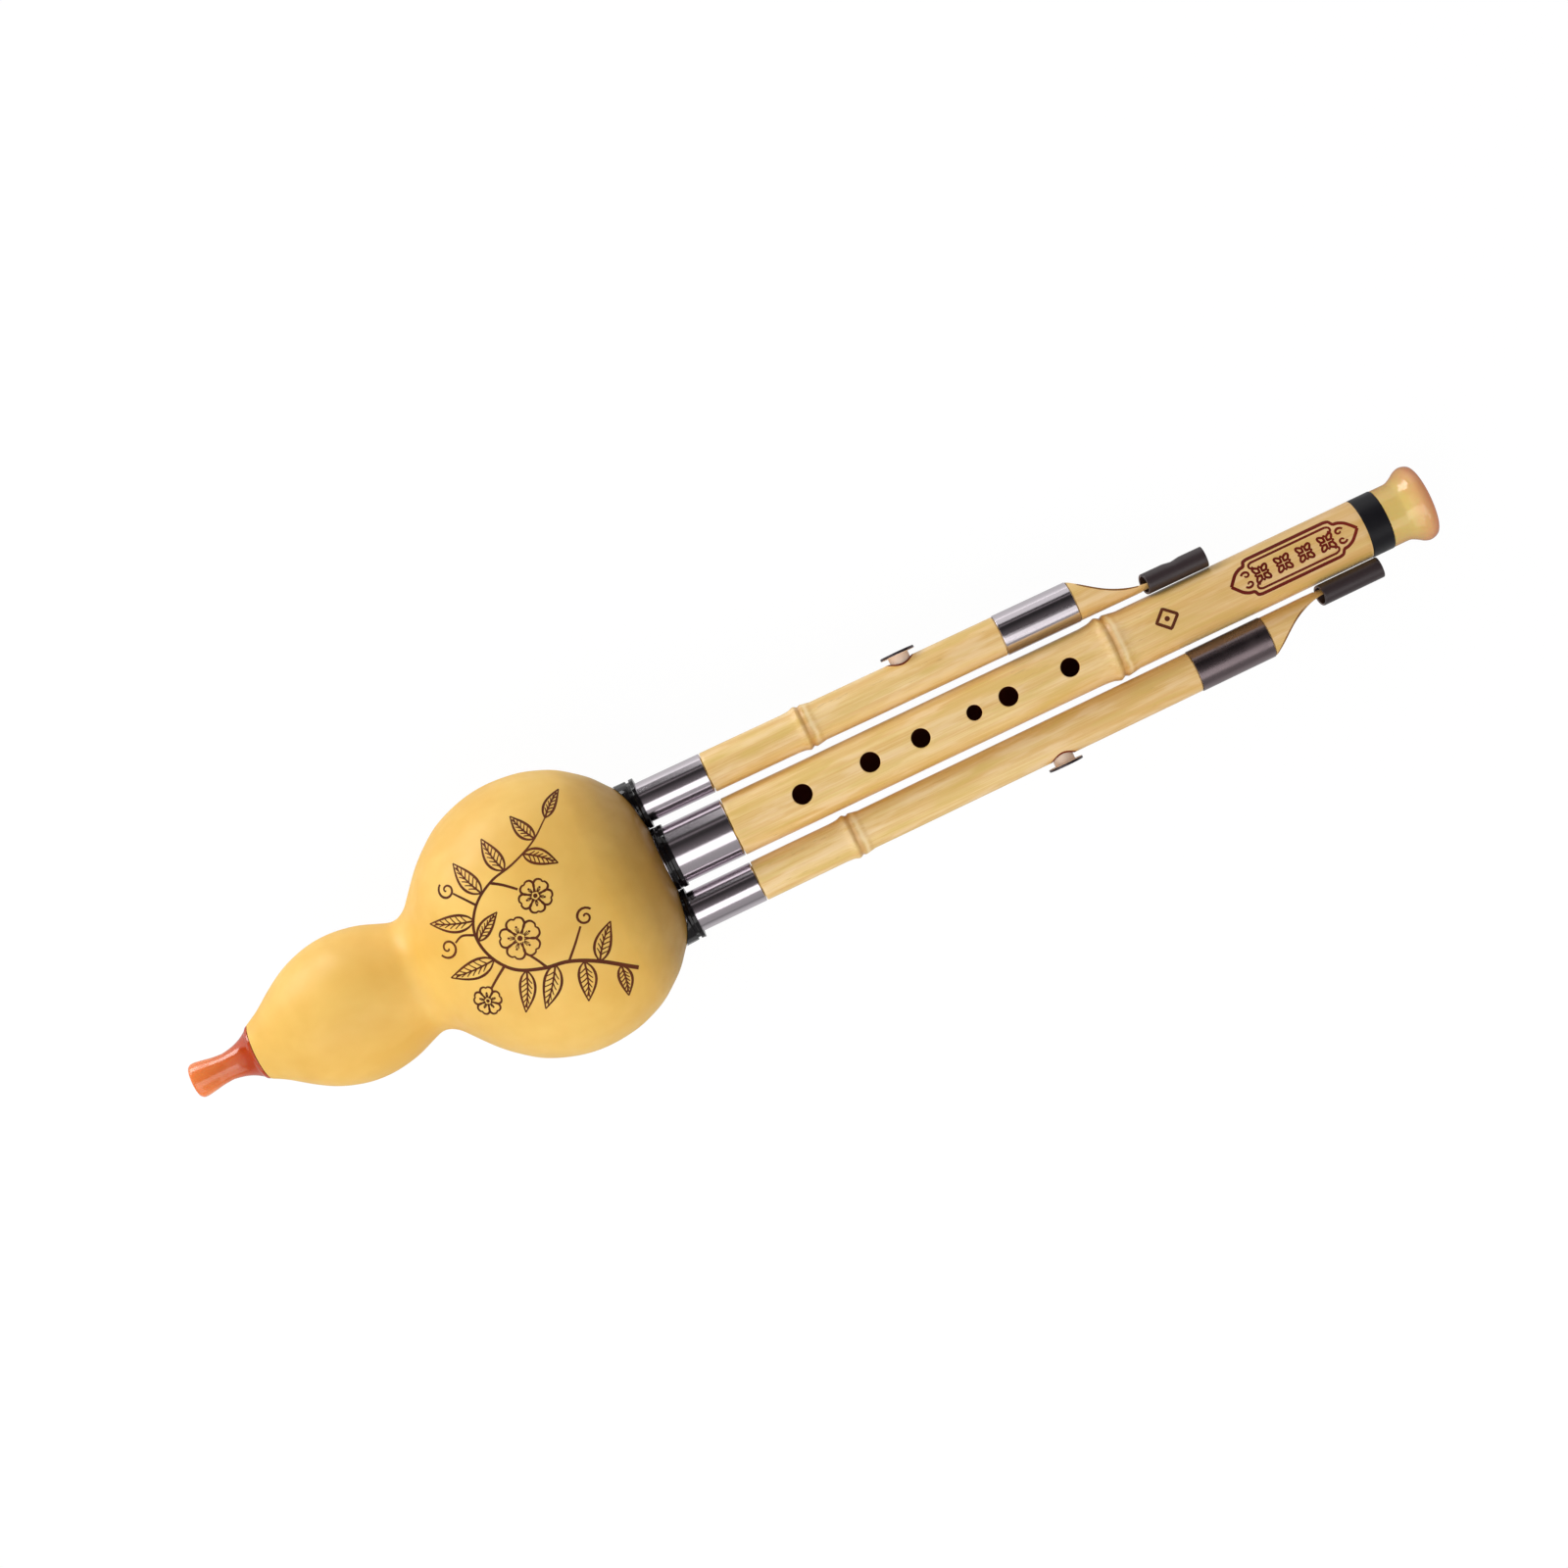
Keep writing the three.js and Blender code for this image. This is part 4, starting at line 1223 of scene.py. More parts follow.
@dataclass(frozen=True)
class PipeSizes:
    """Sizes that a pipe shares with its collar, its socket, its tenon and its reed."""

    radius: float
    wall: float
    socket_wall: float
    lip: float
    rim_radius: float
    groove_radius: float
    tenon_inside: float
    tenon_wall: float
    root_drop: float
    root_length: float
    seat_length: float
    seat_neck: float
    neck_wall: float
    floor: float
    plate_margin: float
    landing: float
    slot_width: float
    parting: float
    around: int

    @property
    def bore(self) -> float:
        """The bore's radius."""
        return self.radius - self.wall

    @property
    def tenon_radius(self) -> float:
        """The tenon's radius, clear of the socket."""
        return self.radius - self.socket_wall - FIT_GAP

    @property
    def tenon_root(self) -> float:
        """The tenon's radius inside the bamboo."""
        return self.tenon_radius - self.root_drop

    @property
    def tenon_bore(self) -> float:
        """The tenon's bore."""
        return self.tenon_radius - self.tenon_wall


MELODY_SIZES = PipeSizes(
    radius=9.65, wall=2.65, socket_wall=0.8, lip=-20, rim_radius=10.95, groove_radius=10.55, tenon_inside=60,
    tenon_wall=1.75, root_drop=0.55, root_length=8, seat_length=24, seat_neck=8, neck_wall=2.5, floor=1.5,
    plate_margin=1.6, landing=3, slot_width=3, parting=10.5, around=136)
DRONE_SIZES = PipeSizes(
    radius=6.6, wall=2, socket_wall=0.6, lip=-22, rim_radius=8.6, groove_radius=7.9, tenon_inside=52,
    tenon_wall=1.4, root_drop=0.5, root_length=8, seat_length=20, seat_neck=7, neck_wall=1.6, floor=1.2,
    plate_margin=1.8, landing=2.5, slot_width=2.2, parting=8.2, around=104)
JOINT_SHARES = ((0, 0), (0.25, 0.28), (0.4, 0.9), (0.46, 1), (0.53, 0.55), (0.58, 0.25), (0.66, 0.7),
                (0.74, 0.6), (1, 0))
JOINT_GROOVE_SHARE = 0.58
STEP_HALF = 0.01


def joint_outline(place: float, length: float, rise: float, before: float, after: float) -> list[Point]:
    """A bamboo joint's outline: a swelling, a groove at the place and a lower ridge.

    Args:
        place: Where the groove is.
        length: The joint's whole length.
        rise: Height of the swelling over the pipe.
        before: The pipe's radius before it.
        after: The pipe's radius past it.

    Returns:
        Places and radii.
    """
    start = place - length * JOINT_GROOVE_SHARE
    drawn = [(start + length * along, before + (after - before) * along + rise * share)
             for along, share in JOINT_SHARES]
    return curve(drawn, 5)


def step_between(place: float, first: float, second: float) -> list[Point]:
    """A step in a bore from one radius to another."""
    return [(place - STEP_HALF, first), (place + STEP_HALF, second)]


@dataclass
class Mounting(Assembly):
    """The black collar and the chrome socket that hold a pipe in the gourd's base."""

    name: str
    sizes: PipeSizes
    gourd: Gourd
    to_gourd: Matrix
    least: float
    most: float
    grain: float = 2.2
    lip_thick: float = 1.4
    groove_wide: float = 1.0
    socket_end: float = -34.0
    buried: float = -45.0
    unevenness: float = 0.3

    def build(self) -> None:
        """Make the collar and the socket."""
        sizes = self.sizes
        lip_back = sizes.lip - self.lip_thick
        groove_back = lip_back - self.groove_wide
        inner = sizes.radius + FIT_GAP
        collar = rounded([
            (self.buried, inner, 0), (sizes.lip, inner, 0.2), (sizes.lip, sizes.rim_radius, 0.25),
            (lip_back, sizes.rim_radius, 0.3), (lip_back, sizes.groove_radius, 0.15),
            (groove_back, sizes.groove_radius, 0.15), (groove_back, sizes.rim_radius, 0.3),
            (self.buried, sizes.rim_radius, 0)], True)
        self.put(f"{self.name}_collar_ribbed", turned(collar, sizes.around, self.against_gourd),
                 [GLOSS_BLACK], f"{self.name}_collar")
        socket = tube(self.socket_end, 0, sizes.radius, sizes.radius - sizes.socket_wall,
                      (0.1, 0.25, 0.2, 0.1))
        self.put(f"{self.name}_socket_plated", turned(socket, sizes.around), [BRIGHT_PLATE],
                 f"{self.name}_socket")

    def against_gourd(self, points: np.ndarray) -> np.ndarray:
        """Points a little uneven, kept off the gourd's face and between the parting planes."""
        kept = points.copy()
        inner = self.sizes.radius + FIT_GAP
        for index, (x, y, z) in enumerate(points):
            radius = math.hypot(y, z)
            swell = noise.noise(Vector((x, y, z)) / self.grain) * self.unevenness - self.unevenness / 2
            if radius > inner + self.unevenness:
                kept[index, 1:] *= 1 + swell / radius
        kept[:, 1] = np.clip(kept[:, 1], self.least, self.most)
        there = kept @ np.array(self.to_gourd.to_3x3()).T + np.array(self.to_gourd.translation)
        face = self.gourd.base_at(np.hypot(there[:, 1], there[:, 2])) + FIT_GAP
        kept[:, 0] += np.maximum(face - there[:, 0], 0)
        return kept


@dataclass
class Reed(Assembly):
    """The brass tenon that slides in the socket, with the reed's seat in its inner end."""

    name: str
    sizes: PipeSizes
    bore_sides: int = 48

    def build(self) -> None:
        """Make the tenon and the seat, and give the plate its finish."""
        sizes = self.sizes
        inner = -sizes.tenon_inside
        tenon = rounded([
            (inner, sizes.tenon_radius, 0.15), (0, sizes.tenon_radius, 0.15), (0, sizes.tenon_root, 0),
            (sizes.root_length, sizes.tenon_root, 0.1), (sizes.root_length, sizes.tenon_bore, 0.1),
            (inner, sizes.tenon_bore, 0.15)], True)
        self.put(f"{self.name}_tenon_tube", turned(tenon, sizes.around), [PLAIN_BRASS], f"{self.name}_tenon")
        self.seat_plug()
        for part in frame["nodes"][f"{self.name}_reed_plate"].material_slots:
            part.material = self.palette.material(PLAIN_BRASS)

    def seat_plug(self) -> None:
        """Make the seat: a plug with a bore, a flat for the reed and a slot under it."""
        sizes = self.sizes
        face = -sizes.tenon_inside - FIT_GAP
        end = face - sizes.seat_length
        flat_start = face - sizes.tenon_wall
        neck_radius = sizes.tenon_bore - FIT_GAP
        neck_end = face + sizes.seat_neck
        bore = neck_radius - sizes.neck_wall
        middle = (flat_start + end) / 2
        slot_half = (flat_start - end) / 2 - sizes.plate_margin - sizes.landing
        plug = rounded([
            (end, 0, 0), (end, sizes.tenon_radius, 0.4), (face, sizes.tenon_radius, 0.2),
            (face, neck_radius, 0), (neck_end, neck_radius, 0.3), (neck_end, 0, 0)], False)
        reach = sizes.tenon_radius + OVERRUN
        half = sizes.slot_width / 2
        tools = [bar(bore, middle - slot_half, neck_end + OVERRUN, self.bore_sides),
                 prism(box_outline(end - OVERRUN, flat_start, reach), bore + sizes.floor, reach),
                 prism(box_outline(middle - slot_half, middle + slot_half, half), 0, reach)]
        self.put(f"{self.name}_reed_plug", turned(plug, sizes.around), [IVORY], f"{self.name}_reed_seat",
                 tools=tools)


def box_outline(start: float, end: float, half: float) -> list[Point]:
    """A rectangle between two places and as far to both sides."""
    return [(start, -half), (end, -half), (end, half), (start, half)]


# Lines burnt or inked into the surface


@dataclass
class Engraving:
    """Lines laid on a surface as thin ribbons that stand out a little, gathered in one skin."""

    surface: Surface
    lift: float = 0.05
    sunk: float = 0.1
    step: float = 0.45
    dot_sides: int = 10
    skin: Skin = field(default_factory=Skin)

    def line(self, points: Outline, widths: Sequence[float] | float, closed: bool = False) -> None:
        """Lay one line.

        Args:
            points: The line's points.
            widths: Its width, or its width at points evenly along it.
            closed: Whether it closes on itself.
        """
        path = self.evenly(np.asarray(points, float), closed)
        if closed:
            ways = np.roll(path, -1, axis=0) - np.roll(path, 1, axis=0)
        else:
            ways = np.gradient(path, axis=0)
        ways /= np.maximum(np.linalg.norm(ways, axis=1), 1e-9)[:, None]
        across = np.stack([-ways[:, 1], ways[:, 0]], axis=1)
        given = np.atleast_1d(np.asarray(widths, float))
        spread = np.interp(np.linspace(0, 1, len(path)), np.linspace(0, 1, len(given)), given)
        rings = []
        for place, side, width in zip(path, across, spread):
            corners = []
            for share, height in ((-0.5, -self.sunk), (-0.4, self.lift), (0.4, self.lift), (0.5, -self.sunk)):
                point, outward = self.surface(*(place + side * width * share))
                corners.append(point + outward * height)
            rings.append(self.skin.add(np.array(corners)))
        self.skin.sweep(rings)
        if closed:
            self.skin.bridge(rings[-1], rings[0])
        else:
            self.skin.face(rings[0])
            self.skin.face(rings[-1][::-1])

    def evenly(self, points: np.ndarray, closed: bool) -> np.ndarray:
        """A line's points on even short steps, so that it follows a round surface."""
        path = np.vstack([points, points[:1]]) if closed else points
        path = even_path(path, max(3, math.ceil(distances(path)[-1] / self.step) + 1))
        return path[:-1] if closed else path

    def dot(self, centre: Point, radius: float) -> None:
        """Lay one dot."""
        rings = []
        for share, height in ((1.0, -self.sunk), (0.85, self.lift)):
            corners = []
            for step in range(self.dot_sides):
                turn = 2 * math.pi * step / self.dot_sides
                point, outward = self.surface(centre[0] + radius * share * math.cos(turn),
                                              centre[1] + radius * share * math.sin(turn))
                corners.append(point + outward * height)
            rings.append(self.skin.add(np.array(corners)))
        self.skin.bridge(*rings)
        self.skin.face(rings[0])
        self.skin.face(rings[1][::-1])


@dataclass
class Sprig:
    """A flowering vine drawn on the gourd: a winding stem, leaves, blossoms and tendrils."""

    art: Engraving
    stem: Points = (
        (-43, -26), (-52, -19), (-60, -15), (-68, -13.5), (-76, -10), (-81, -3), (-82, 5), (-78, 12),
        (-71, 16.5), (-63, 18.5), (-55, 22), (-49, 27))
    blossoms: tuple[tuple[Point, float, float], ...] = (
        ((-70, -2.5), 6.2, 12), ((-60.5, 7), 5.0, 40), ((-88, -15.5), 4.4, 70))
    tendrils: tuple[tuple[Point, float, float], ...] = (
        ((-92, 4), 3.0, 200), ((-50, -5), 2.6, 30), ((-85, 20), 2.6, 120))
    blossom_stalks: tuple[Points, ...] = (
        ((-66.5, -14), (-68, -11), (-69.5, -8.5)), ((-71.5, 16.3), (-68, 14), (-64.5, 11)),
        ((-78, -8), (-82, -10.5), (-85, -12.5)))
    tendril_stalks: tuple[Points, ...] = (
        ((-82, 4), (-86, 5.5), (-89, 4.5)), ((-60, -15), (-56, -11), (-52.4, -7)),
        ((-78, 12), (-81, 15.5), (-83.4, 18.2)))
    leaves: tuple[tuple[Point, Point, float], ...] = (
        ((-52, -19), (-44, -9.5), 4.6), ((-56, -17), (-60.5, -28.5), 5.0), ((-64, -14), (-73, -25), 5.2),
        ((-72.5, -12), (-79, -23.5), 4.6), ((-80, -5), (-95.5, -4.5), 5.4), ((-82, 2), (-73, 7.5), 3.8),
        ((-80.5, 8), (-94.5, 13), 5.0), ((-75, 14.5), (-80, 26.5), 5.0), ((-66, 17.8), (-69, 29.5), 4.8),
        ((-59, 20), (-50.5, 13), 4.4), ((-54, 22.5), (-58.5, 32), 4.0), ((-49, 27), (-42.5, 33.5), 3.4),
        ((-47, -23), (-49.5, -32.5), 3.8))
    veins: tuple[float, ...] = (0.16, 0.28, 0.4, 0.52, 0.64, 0.76)
    petal: Points = (
        (0.2, -0.08), (0.55, -0.42), (0.88, -0.4), (1.0, -0.14), (0.93, 0.0), (1.0, 0.14), (0.88, 0.4),
        (0.55, 0.42), (0.2, 0.08))

    def draw(self) -> None:
        """Draw it all."""
        self.art.line(curve(self.stem), (1.5, 1.3, 1.1, 0.9, 0.5))
        for leaf in self.leaves:
            self.leaf(*leaf)
        for blossom in self.blossoms:
            self.blossom(*blossom)
        for stalk in self.blossom_stalks:
            self.art.line(curve(stalk), (1.0, 0.85))
        for tendril in self.tendrils:
            self.tendril(*tendril)
        for stalk in self.tendril_stalks:
            self.art.line(curve(stalk), (0.9, 0.7))

    def leaf(self, base: Point, tip: Point, width: float) -> None:
        """Draw a pointed leaf with its veins."""
        start = np.array(base, float)
        way = np.array(tip, float) - start
        across = np.array([-way[1], way[0]]) / np.linalg.norm(way) * width

        def inside(t: float, side: float, bulge: float) -> np.ndarray:
            """A point at a share of the leaf's length, off its bent middle by a share of its width."""
            middle = start + way * t + 0.1 * across * math.sin(math.pi * t)
            return middle + across * side * bulge

        shares = np.linspace(0, 1, 9)
        for side in (-0.5, 0.5):
            edge = [inside(t, side, math.sin(math.pi * t ** 0.75)) for t in shares]
            self.art.line(curve(edge, 3), (0.5, 0.95, 0.8, 0.45))
            for t in self.veins:
                root = inside(t, 0, 0)
                reach = min(t + 0.14, 0.96)
                end = start + way * reach + across * side * 0.8 * math.sin(math.pi * reach ** 0.75)
                self.art.line(curve([root, (root + end) / 2 + way * 0.01, end], 3), (0.5, 0.36))
        self.art.line(curve([inside(t, 0, 0) for t in shares[:-1]], 2), (0.75, 0.6, 0.4))

    def blossom(self, centre: Point, radius: float, turn: float) -> None:
        """Draw a flower of five petals with its stamens."""
        heart = np.array(centre, float)
        for petal in range(5):
            angle = math.radians(turn + petal * 72)
            out = np.array([math.cos(angle), math.sin(angle)])
            side = np.array([-out[1], out[0]])
            self.art.line(curve([heart + radius * (out * a + side * b) for a, b in self.petal], 4),
                          (0.5, 0.85, 0.6, 0.85, 0.5))
            for lean in (-0.16, 0.0, 0.16):
                stamen = pairs(heart + radius * (out * a + side * lean * a) for a in (0.24, 0.36, 0.5))
                self.art.line(stamen, (0.34, 0.26))
            self.art.dot(tuple(heart + radius * 0.56 * out), 0.4)
        self.art.dot(centre, radius * 0.15)

    def tendril(self, centre: Point, size: float, turn: float) -> None:
        """Draw a curling tendril."""
        spiral = []
        for step in range(26):
            t = step / 25
            angle = math.radians(turn) + t * 2.6 * math.pi
            reach = size * (1 - t) ** 0.8 + 0.25
            spiral.append((centre[0] + reach * math.cos(angle), centre[1] + reach * math.sin(angle)))
        self.art.line(spiral, (0.75, 0.9, 0.8, 0.65))


@dataclass
class Panel:
    """A framed panel of florets inked on the melody pipe, with scrolled ends."""

    art: Engraving
    middle: float = 192.9
    height: float = 0.9
    outer: Points = (
        (0, 5.9), (13.2, 5.9), (14.5, 5.6), (15.0, 4.8), (15.5, 4.2), (16.8, 4.0), (18.6, 3.1), (20.1, 1.6),
        (21.5, 0))
    inner: Points = ((0, 4.4), (12.6, 4.4), (13.6, 4.0), (13.9, 3.2), (13.4, 2.6), (12.7, 2.9))
    florets: tuple[float, ...] = (-11.1, -3.7, 3.7, 11.1)
    scroll_heart: Point = (15.9, 1.45)
    scroll_size: float = 1.5
    floret_size: float = 2.6
    petal: Points = ((0.25, 0), (0.6, -0.32), (1.05, -0.2), (1.25, 0), (1.05, 0.2), (0.6, 0.32))

    def draw(self) -> None:
        """Draw the frame, its scrolls and its florets."""
        for along in (-1, 1):
            for side in (-1, 1):
                for quarter, width in ((self.outer, 1.2), (self.inner, 0.85)):
                    placed = [(self.middle + x * along, self.height + y * side) for x, y in quarter]
                    self.art.line([placed[0], *curve(placed[1:], 5)], width)
                self.scroll(along, side)
        for place in self.florets:
            self.floret((self.middle + place, self.height), self.floret_size)

    def scroll(self, along: int, side: int) -> None:
        """Draw the curl at one end of the frame."""
        x, y = self.scroll_heart
        turns = []
        for step in range(16):
            t = step / 15
            angle = math.pi * (0.1 + 1.9 * t)
            reach = self.scroll_size * (1 - 0.72 * t)
            turns.append((self.middle + along * (x + reach * math.cos(angle)),
                          self.height + side * (y + reach * math.sin(angle) * 0.8)))
        self.art.line(turns, (0.8, 0.95, 0.8, 0.6))

    def floret(self, centre: Point, size: float) -> None:
        """Draw a four-petalled floret with a lozenge at its heart."""
        x, y = centre
        for petal in range(4):
            angle = math.radians(45 + petal * 90)
            cosine, sine = math.cos(angle), math.sin(angle)
            drawn = [(x + size * (cosine * a - sine * b), y + size * (sine * a + cosine * b))
                     for a, b in self.petal]
            self.art.line(drawn, 0.9, closed=True)
        for turn in (0, 90, 180, 270):
            angle = math.radians(turn)
            self.art.dot((x + size * 0.8 * math.cos(angle), y + size * 0.8 * math.sin(angle)), 0.5)


# Melody pipe


@dataclass
class MelodyPipe(Assembly):
    """The bamboo pipe with its finger holes, its black ring and its bell."""

    sizes: PipeSizes = MELODY_SIZES
    length: float = 217.0
    far_radius: float = 9.75
    joint_place: float = 131.4
    joint_length: float = 12.5
    joint_rise: float = 0.95
    hole_radius: float = 3.2
    sway: float = 0.07
    holes: Points = (
        (0.111, 1), (0.218, 1), (0.298, 0.95), (0.3825, 0.77), (0.4365, 0.97), (0.5335, 0.94))
    thumb: Hole = Hole(13.5, 3.0, 180)
    vents: tuple[Hole, ...] = (Hole(182, 2.2, 180), Hole(198, 2.2, 180))
    ring_length: float = 7.5
    ring_gap: float = 0.04
    bell_tenon: float = 8.1
    bell_tenon_length: float = 15.0
    neck_radius: float = 9.6
    neck_length: float = 5.0
    flare_length: float = 9.3
    flare_rise: float = 2.74
    mouth_radius: float = 9.6
    flare_shares: Points = (
        (0.05, 0.02), (0.16, 0.12), (0.33, 0.42), (0.5, 0.8), (0.66, 1), (0.8, 0.98), (0.93, 0.8),
        (0.985, 0.6))
    mouth_shares: Points = ((0.985, 0.96), (0.8, 0.75), (0.4, 0.3), (0, 0))
    rim_share: float = 0.42
    mark_place: float = 149.3
    mark_height: float = 0.7
    lozenge: Points = (
        (-3.6, 0), (-1.8, 1.7), (0, 3.4), (1.8, 1.7), (3.6, 0), (1.8, -1.7), (0, -3.4), (-1.8, -1.7))

    def build(self) -> None:
        """Make the pipe, its ring, its bell and its marks."""
        self.pipe()
        self.ring()
        self.bell()
        self.marks()

    def pipe(self) -> None:
        """Make the drilled bamboo."""
        sizes = self.sizes
        seat = self.bell_tenon + FIT_GAP
        root = sizes.tenon_root + FIT_GAP
        seat_start = self.length + self.ring_length - self.bell_tenon_length - FIT_GAP
        outside = [
            *pipe_end(FIT_GAP, sizes.radius, 1),
            *joint_outline(self.joint_place, self.joint_length, self.joint_rise, sizes.radius,
                           self.far_radius),
            *reversed(pipe_end(self.length, self.far_radius, -1))]
        inside = [
            (FIT_GAP, root), *step_between(sizes.root_length + FIT_GAP, root, sizes.bore),
            *step_between(seat_start, sizes.bore, seat), (self.length, seat)]
        front = [Hole(self.length * place, self.hole_radius * size) for place, size in self.holes]
        wall = PipeWall(outside, inside, [*front, self.thumb, *self.vents], sizes.around, sway=self.sway)
        bamboo = replace(LACQUERED, name="bamboo_melody", joint=self.joint_place)
        self.put("melody_bamboo", wall.build(), [bamboo, PAINTED_HOLE_SHADE], "melody_pipe")

    def ring(self) -> None:
        """Make the black ring."""
        start, end = self.length + self.ring_gap, self.length + self.ring_length - self.ring_gap
        outline = tube(start, end, self.far_radius, self.bell_tenon + FIT_GAP, (0.3, 0.3, 0.1, 0.1))
        self.put("black_ring", turned(outline, self.sizes.around), [SATIN_BLACK], "bell_ring")

    def bell(self) -> None:
        """Make the flared bell."""
        start = self.length + self.ring_length
        neck_end = start + self.neck_length
        face = neck_end + self.flare_length
        widest = self.neck_radius + self.flare_rise
        flare = stretch(self.flare_shares, (neck_end, self.neck_radius), (face, widest))
        mouth = stretch(self.mouth_shares, (start, self.sizes.bore), (face, self.mouth_radius))
        rim = [(face, self.neck_radius + self.flare_rise * self.rim_share), (face, self.mouth_radius + 0.3)]
        neck = [(place, self.neck_radius) for place in (start + 1, start + 2.5, neck_end - 1)]
        shown = curve([*neck, *flare, *rim, *mouth], 5)
        tenon = rounded([(start, self.sizes.bore, 0), (start - self.bell_tenon_length, self.sizes.bore, 0.15),
                         (start - self.bell_tenon_length, self.bell_tenon, 0.15), (start, self.bell_tenon, 0),
                         (start, self.neck_radius, 0.3), (start + 1, self.neck_radius, 0)], False)
        self.put("flared_bell", turned([*shown, *tenon[1:-1]], self.sizes.around), [OLIVE_RESIN], "bell")

    def on_pipe(self, x: float, y: float) -> tuple[np.ndarray, np.ndarray]:
        """The point and the outward direction of the front of the bamboo over a place and side."""
        radius = self.far_radius
        z = math.sqrt(radius * radius - y * y)
        share = 1 + swell_at(x, y, z) * self.sway / radius
        return np.array([x, y * share, z * share]), np.array([0, y / radius, z / radius])

    def marks(self) -> None:
        """Ink the panel and burn the tuning mark in."""
        panel = Engraving(self.on_pipe)
        Panel(panel).draw()
        self.put("inked_panel", panel.skin, [RED_LINE])
        mark = Engraving(self.on_pipe)
        x, y = self.mark_place, self.mark_height
        mark.line([(x + along, y + side) for along, side in self.lozenge], 1.15, closed=True)
        mark.dot((x, y), 0.95)
        self.put("tuning_mark", mark.skin, [BURNT_MARK])


# Drones


@dataclass
class Drone(Assembly):
    """A drone pipe: bamboo with a scooped end, its metal band, its black sleeve and its stopper."""

    side: Side
    toe_in: float
    plug_body: Body
    joint_place: float
    stopper_place: float
    sleeve_start: float
    scoop_length: float
    crimped: bool
    band_finish: Finish
    sizes: PipeSizes = DRONE_SIZES
    tail_radius: float = 6.5
    joint_length: float = 10.0
    joint_rise: float = 0.75
    band_length: float = 25.0
    band_proud: float = 0.25
    band_wall: float = 0.5
    strip_thick: float = 2.0
    tongue: float = 14.0
    sleeve_length: float = 20.0
    sleeve_radius: float = 3.4
    sleeve_wall: float = 0.75
    slant: float = 1.6
    crimp_depth: float = 0.4
    clear: float = 13.578
    shank: float = 3.4
    head: float = 5.7
    head_thick: float = 0.9
    stand_off: float = 1.6
    reach: float = 2.2
    # Width of the ring of painted shade round the stopper's hole, under its head.
    dark_ring: float = 0.6
    sway: float = 0.06
    taper_length: float = 15.0
    strip_back: float = -5.0
    dent_length: float = 1.5
    dent_shares: tuple[float, ...] = (0.35, 0.5, 0.65)
    scoop_shares: Points = ((0, 0), (0.26, 0.4), (0.52, 0.96), (1, 1))
    sides: int = 80
    tool_sides: int = 64

    @property
    def name(self) -> str:
        """The drone's name, which its pieces' names start with."""
        return f"{self.side.name.lower()}_drone"

    @property
    def band_end(self) -> float:
        """Where the band ends and the scoop starts."""
        return self.sleeve_start - self.scoop_length

    @property
    def tongue_start(self) -> float:
        """Where the strip is thinned to the tongue, just before the sleeve's slanted mouth."""
        return self.sleeve_start - self.slant - FIT_GAP

    @property
    def sleeve_centre(self) -> Point:
        """Where the sleeve's axis lies beside the pipe's own."""
        apart = SPACING - math.tan(self.toe_in) * (self.sleeve_start + self.sleeve_length)
        middle = (self.tail_radius + self.sizes.bore) / 2
        cosine = (apart ** 2 + middle ** 2 - self.clear ** 2) / (2 * apart * middle)
        turn = math.acos(min(cosine, 1))
        return -self.side.value * middle * math.cos(turn), middle * math.sin(turn)

    def build(self) -> None:
        """Make the drone."""
        self.pipe()
        self.cut_edge()
        self.band()
        self.sleeve()
        self.stopper()

    def pipe(self) -> None:
        """Make the bamboo: turned, drilled for the stopper, scooped, and thinned to a tongue."""
        sizes = self.sizes
        root = sizes.tenon_root + FIT_GAP
        band_seat = self.tail_radius + self.band_proud - self.band_wall - FIT_GAP
        band_start = self.band_end - self.band_length - FIT_GAP
        band_end = self.band_end + FIT_GAP
        tail = self.sleeve_start + self.tongue
        outside = [
            *pipe_end(FIT_GAP, sizes.radius, 1),
            *joint_outline(self.joint_place, self.joint_length, self.joint_rise, sizes.radius,
                           self.tail_radius),
            *step_between(band_start, self.tail_radius, band_seat),
            *step_between(band_end, band_seat, self.tail_radius), (tail, self.tail_radius)]
        inside = [
            (FIT_GAP, root), *step_between(sizes.root_length + FIT_GAP, root, sizes.bore), (tail, sizes.bore)]
        hole = Hole(self.stopper_place, self.shank + FIT_GAP, 90 * self.side.value)
        wall = PipeWall(outside, inside, [hole], sizes.around, dark_ring=self.dark_ring, sway=self.sway)
        bamboo = replace(LACQUERED, name=f"bamboo_{self.side.name.lower()}", joint=self.joint_place)
        tools = [self.scoop(band_end, tail), self.taper(tail), self.tongue_tool(tail)]
        self.put(f"{self.name}_bamboo", wall.build(), [bamboo, PAINTED_HOLE_SHADE], f"{self.name}_pipe",
                 tools=tools, bare=CUT_BAMBOO)

    def scoop(self, start: float, tail: float) -> Skin:
        """What the scoop takes away: a hollow curve that runs out flat."""
        side, beyond = self.side.value, self.tail_radius + OVERRUN
        outline = self.scoop_line(start)
        outline += [(tail + OVERRUN, outline[-1][1]), (tail + OVERRUN, beyond), (start, beyond)]
        return prism([(x, y * side) for x, y in outline], -beyond, beyond)

    def scoop_line(self, start: float) -> list[Point]:
        """The curve that the scoop leaves, from the band to the sleeve, on the outer side."""
        top = self.tail_radius
        floor = self.strip_thick - top
        length = self.sleeve_start - start
        corners = [np.array([start + length * along, top - (top - floor) * drop])
                   for along, drop in self.scoop_shares]
        drawn = []
        for t in np.linspace(0, 1, 33):
            weights = ((1 - t) ** 3, 3 * t * (1 - t) ** 2, 3 * t * t * (1 - t), t ** 3)
            drawn.append(sum(weight * corner for weight, corner in zip(weights, corners)))
        return pairs(drawn)

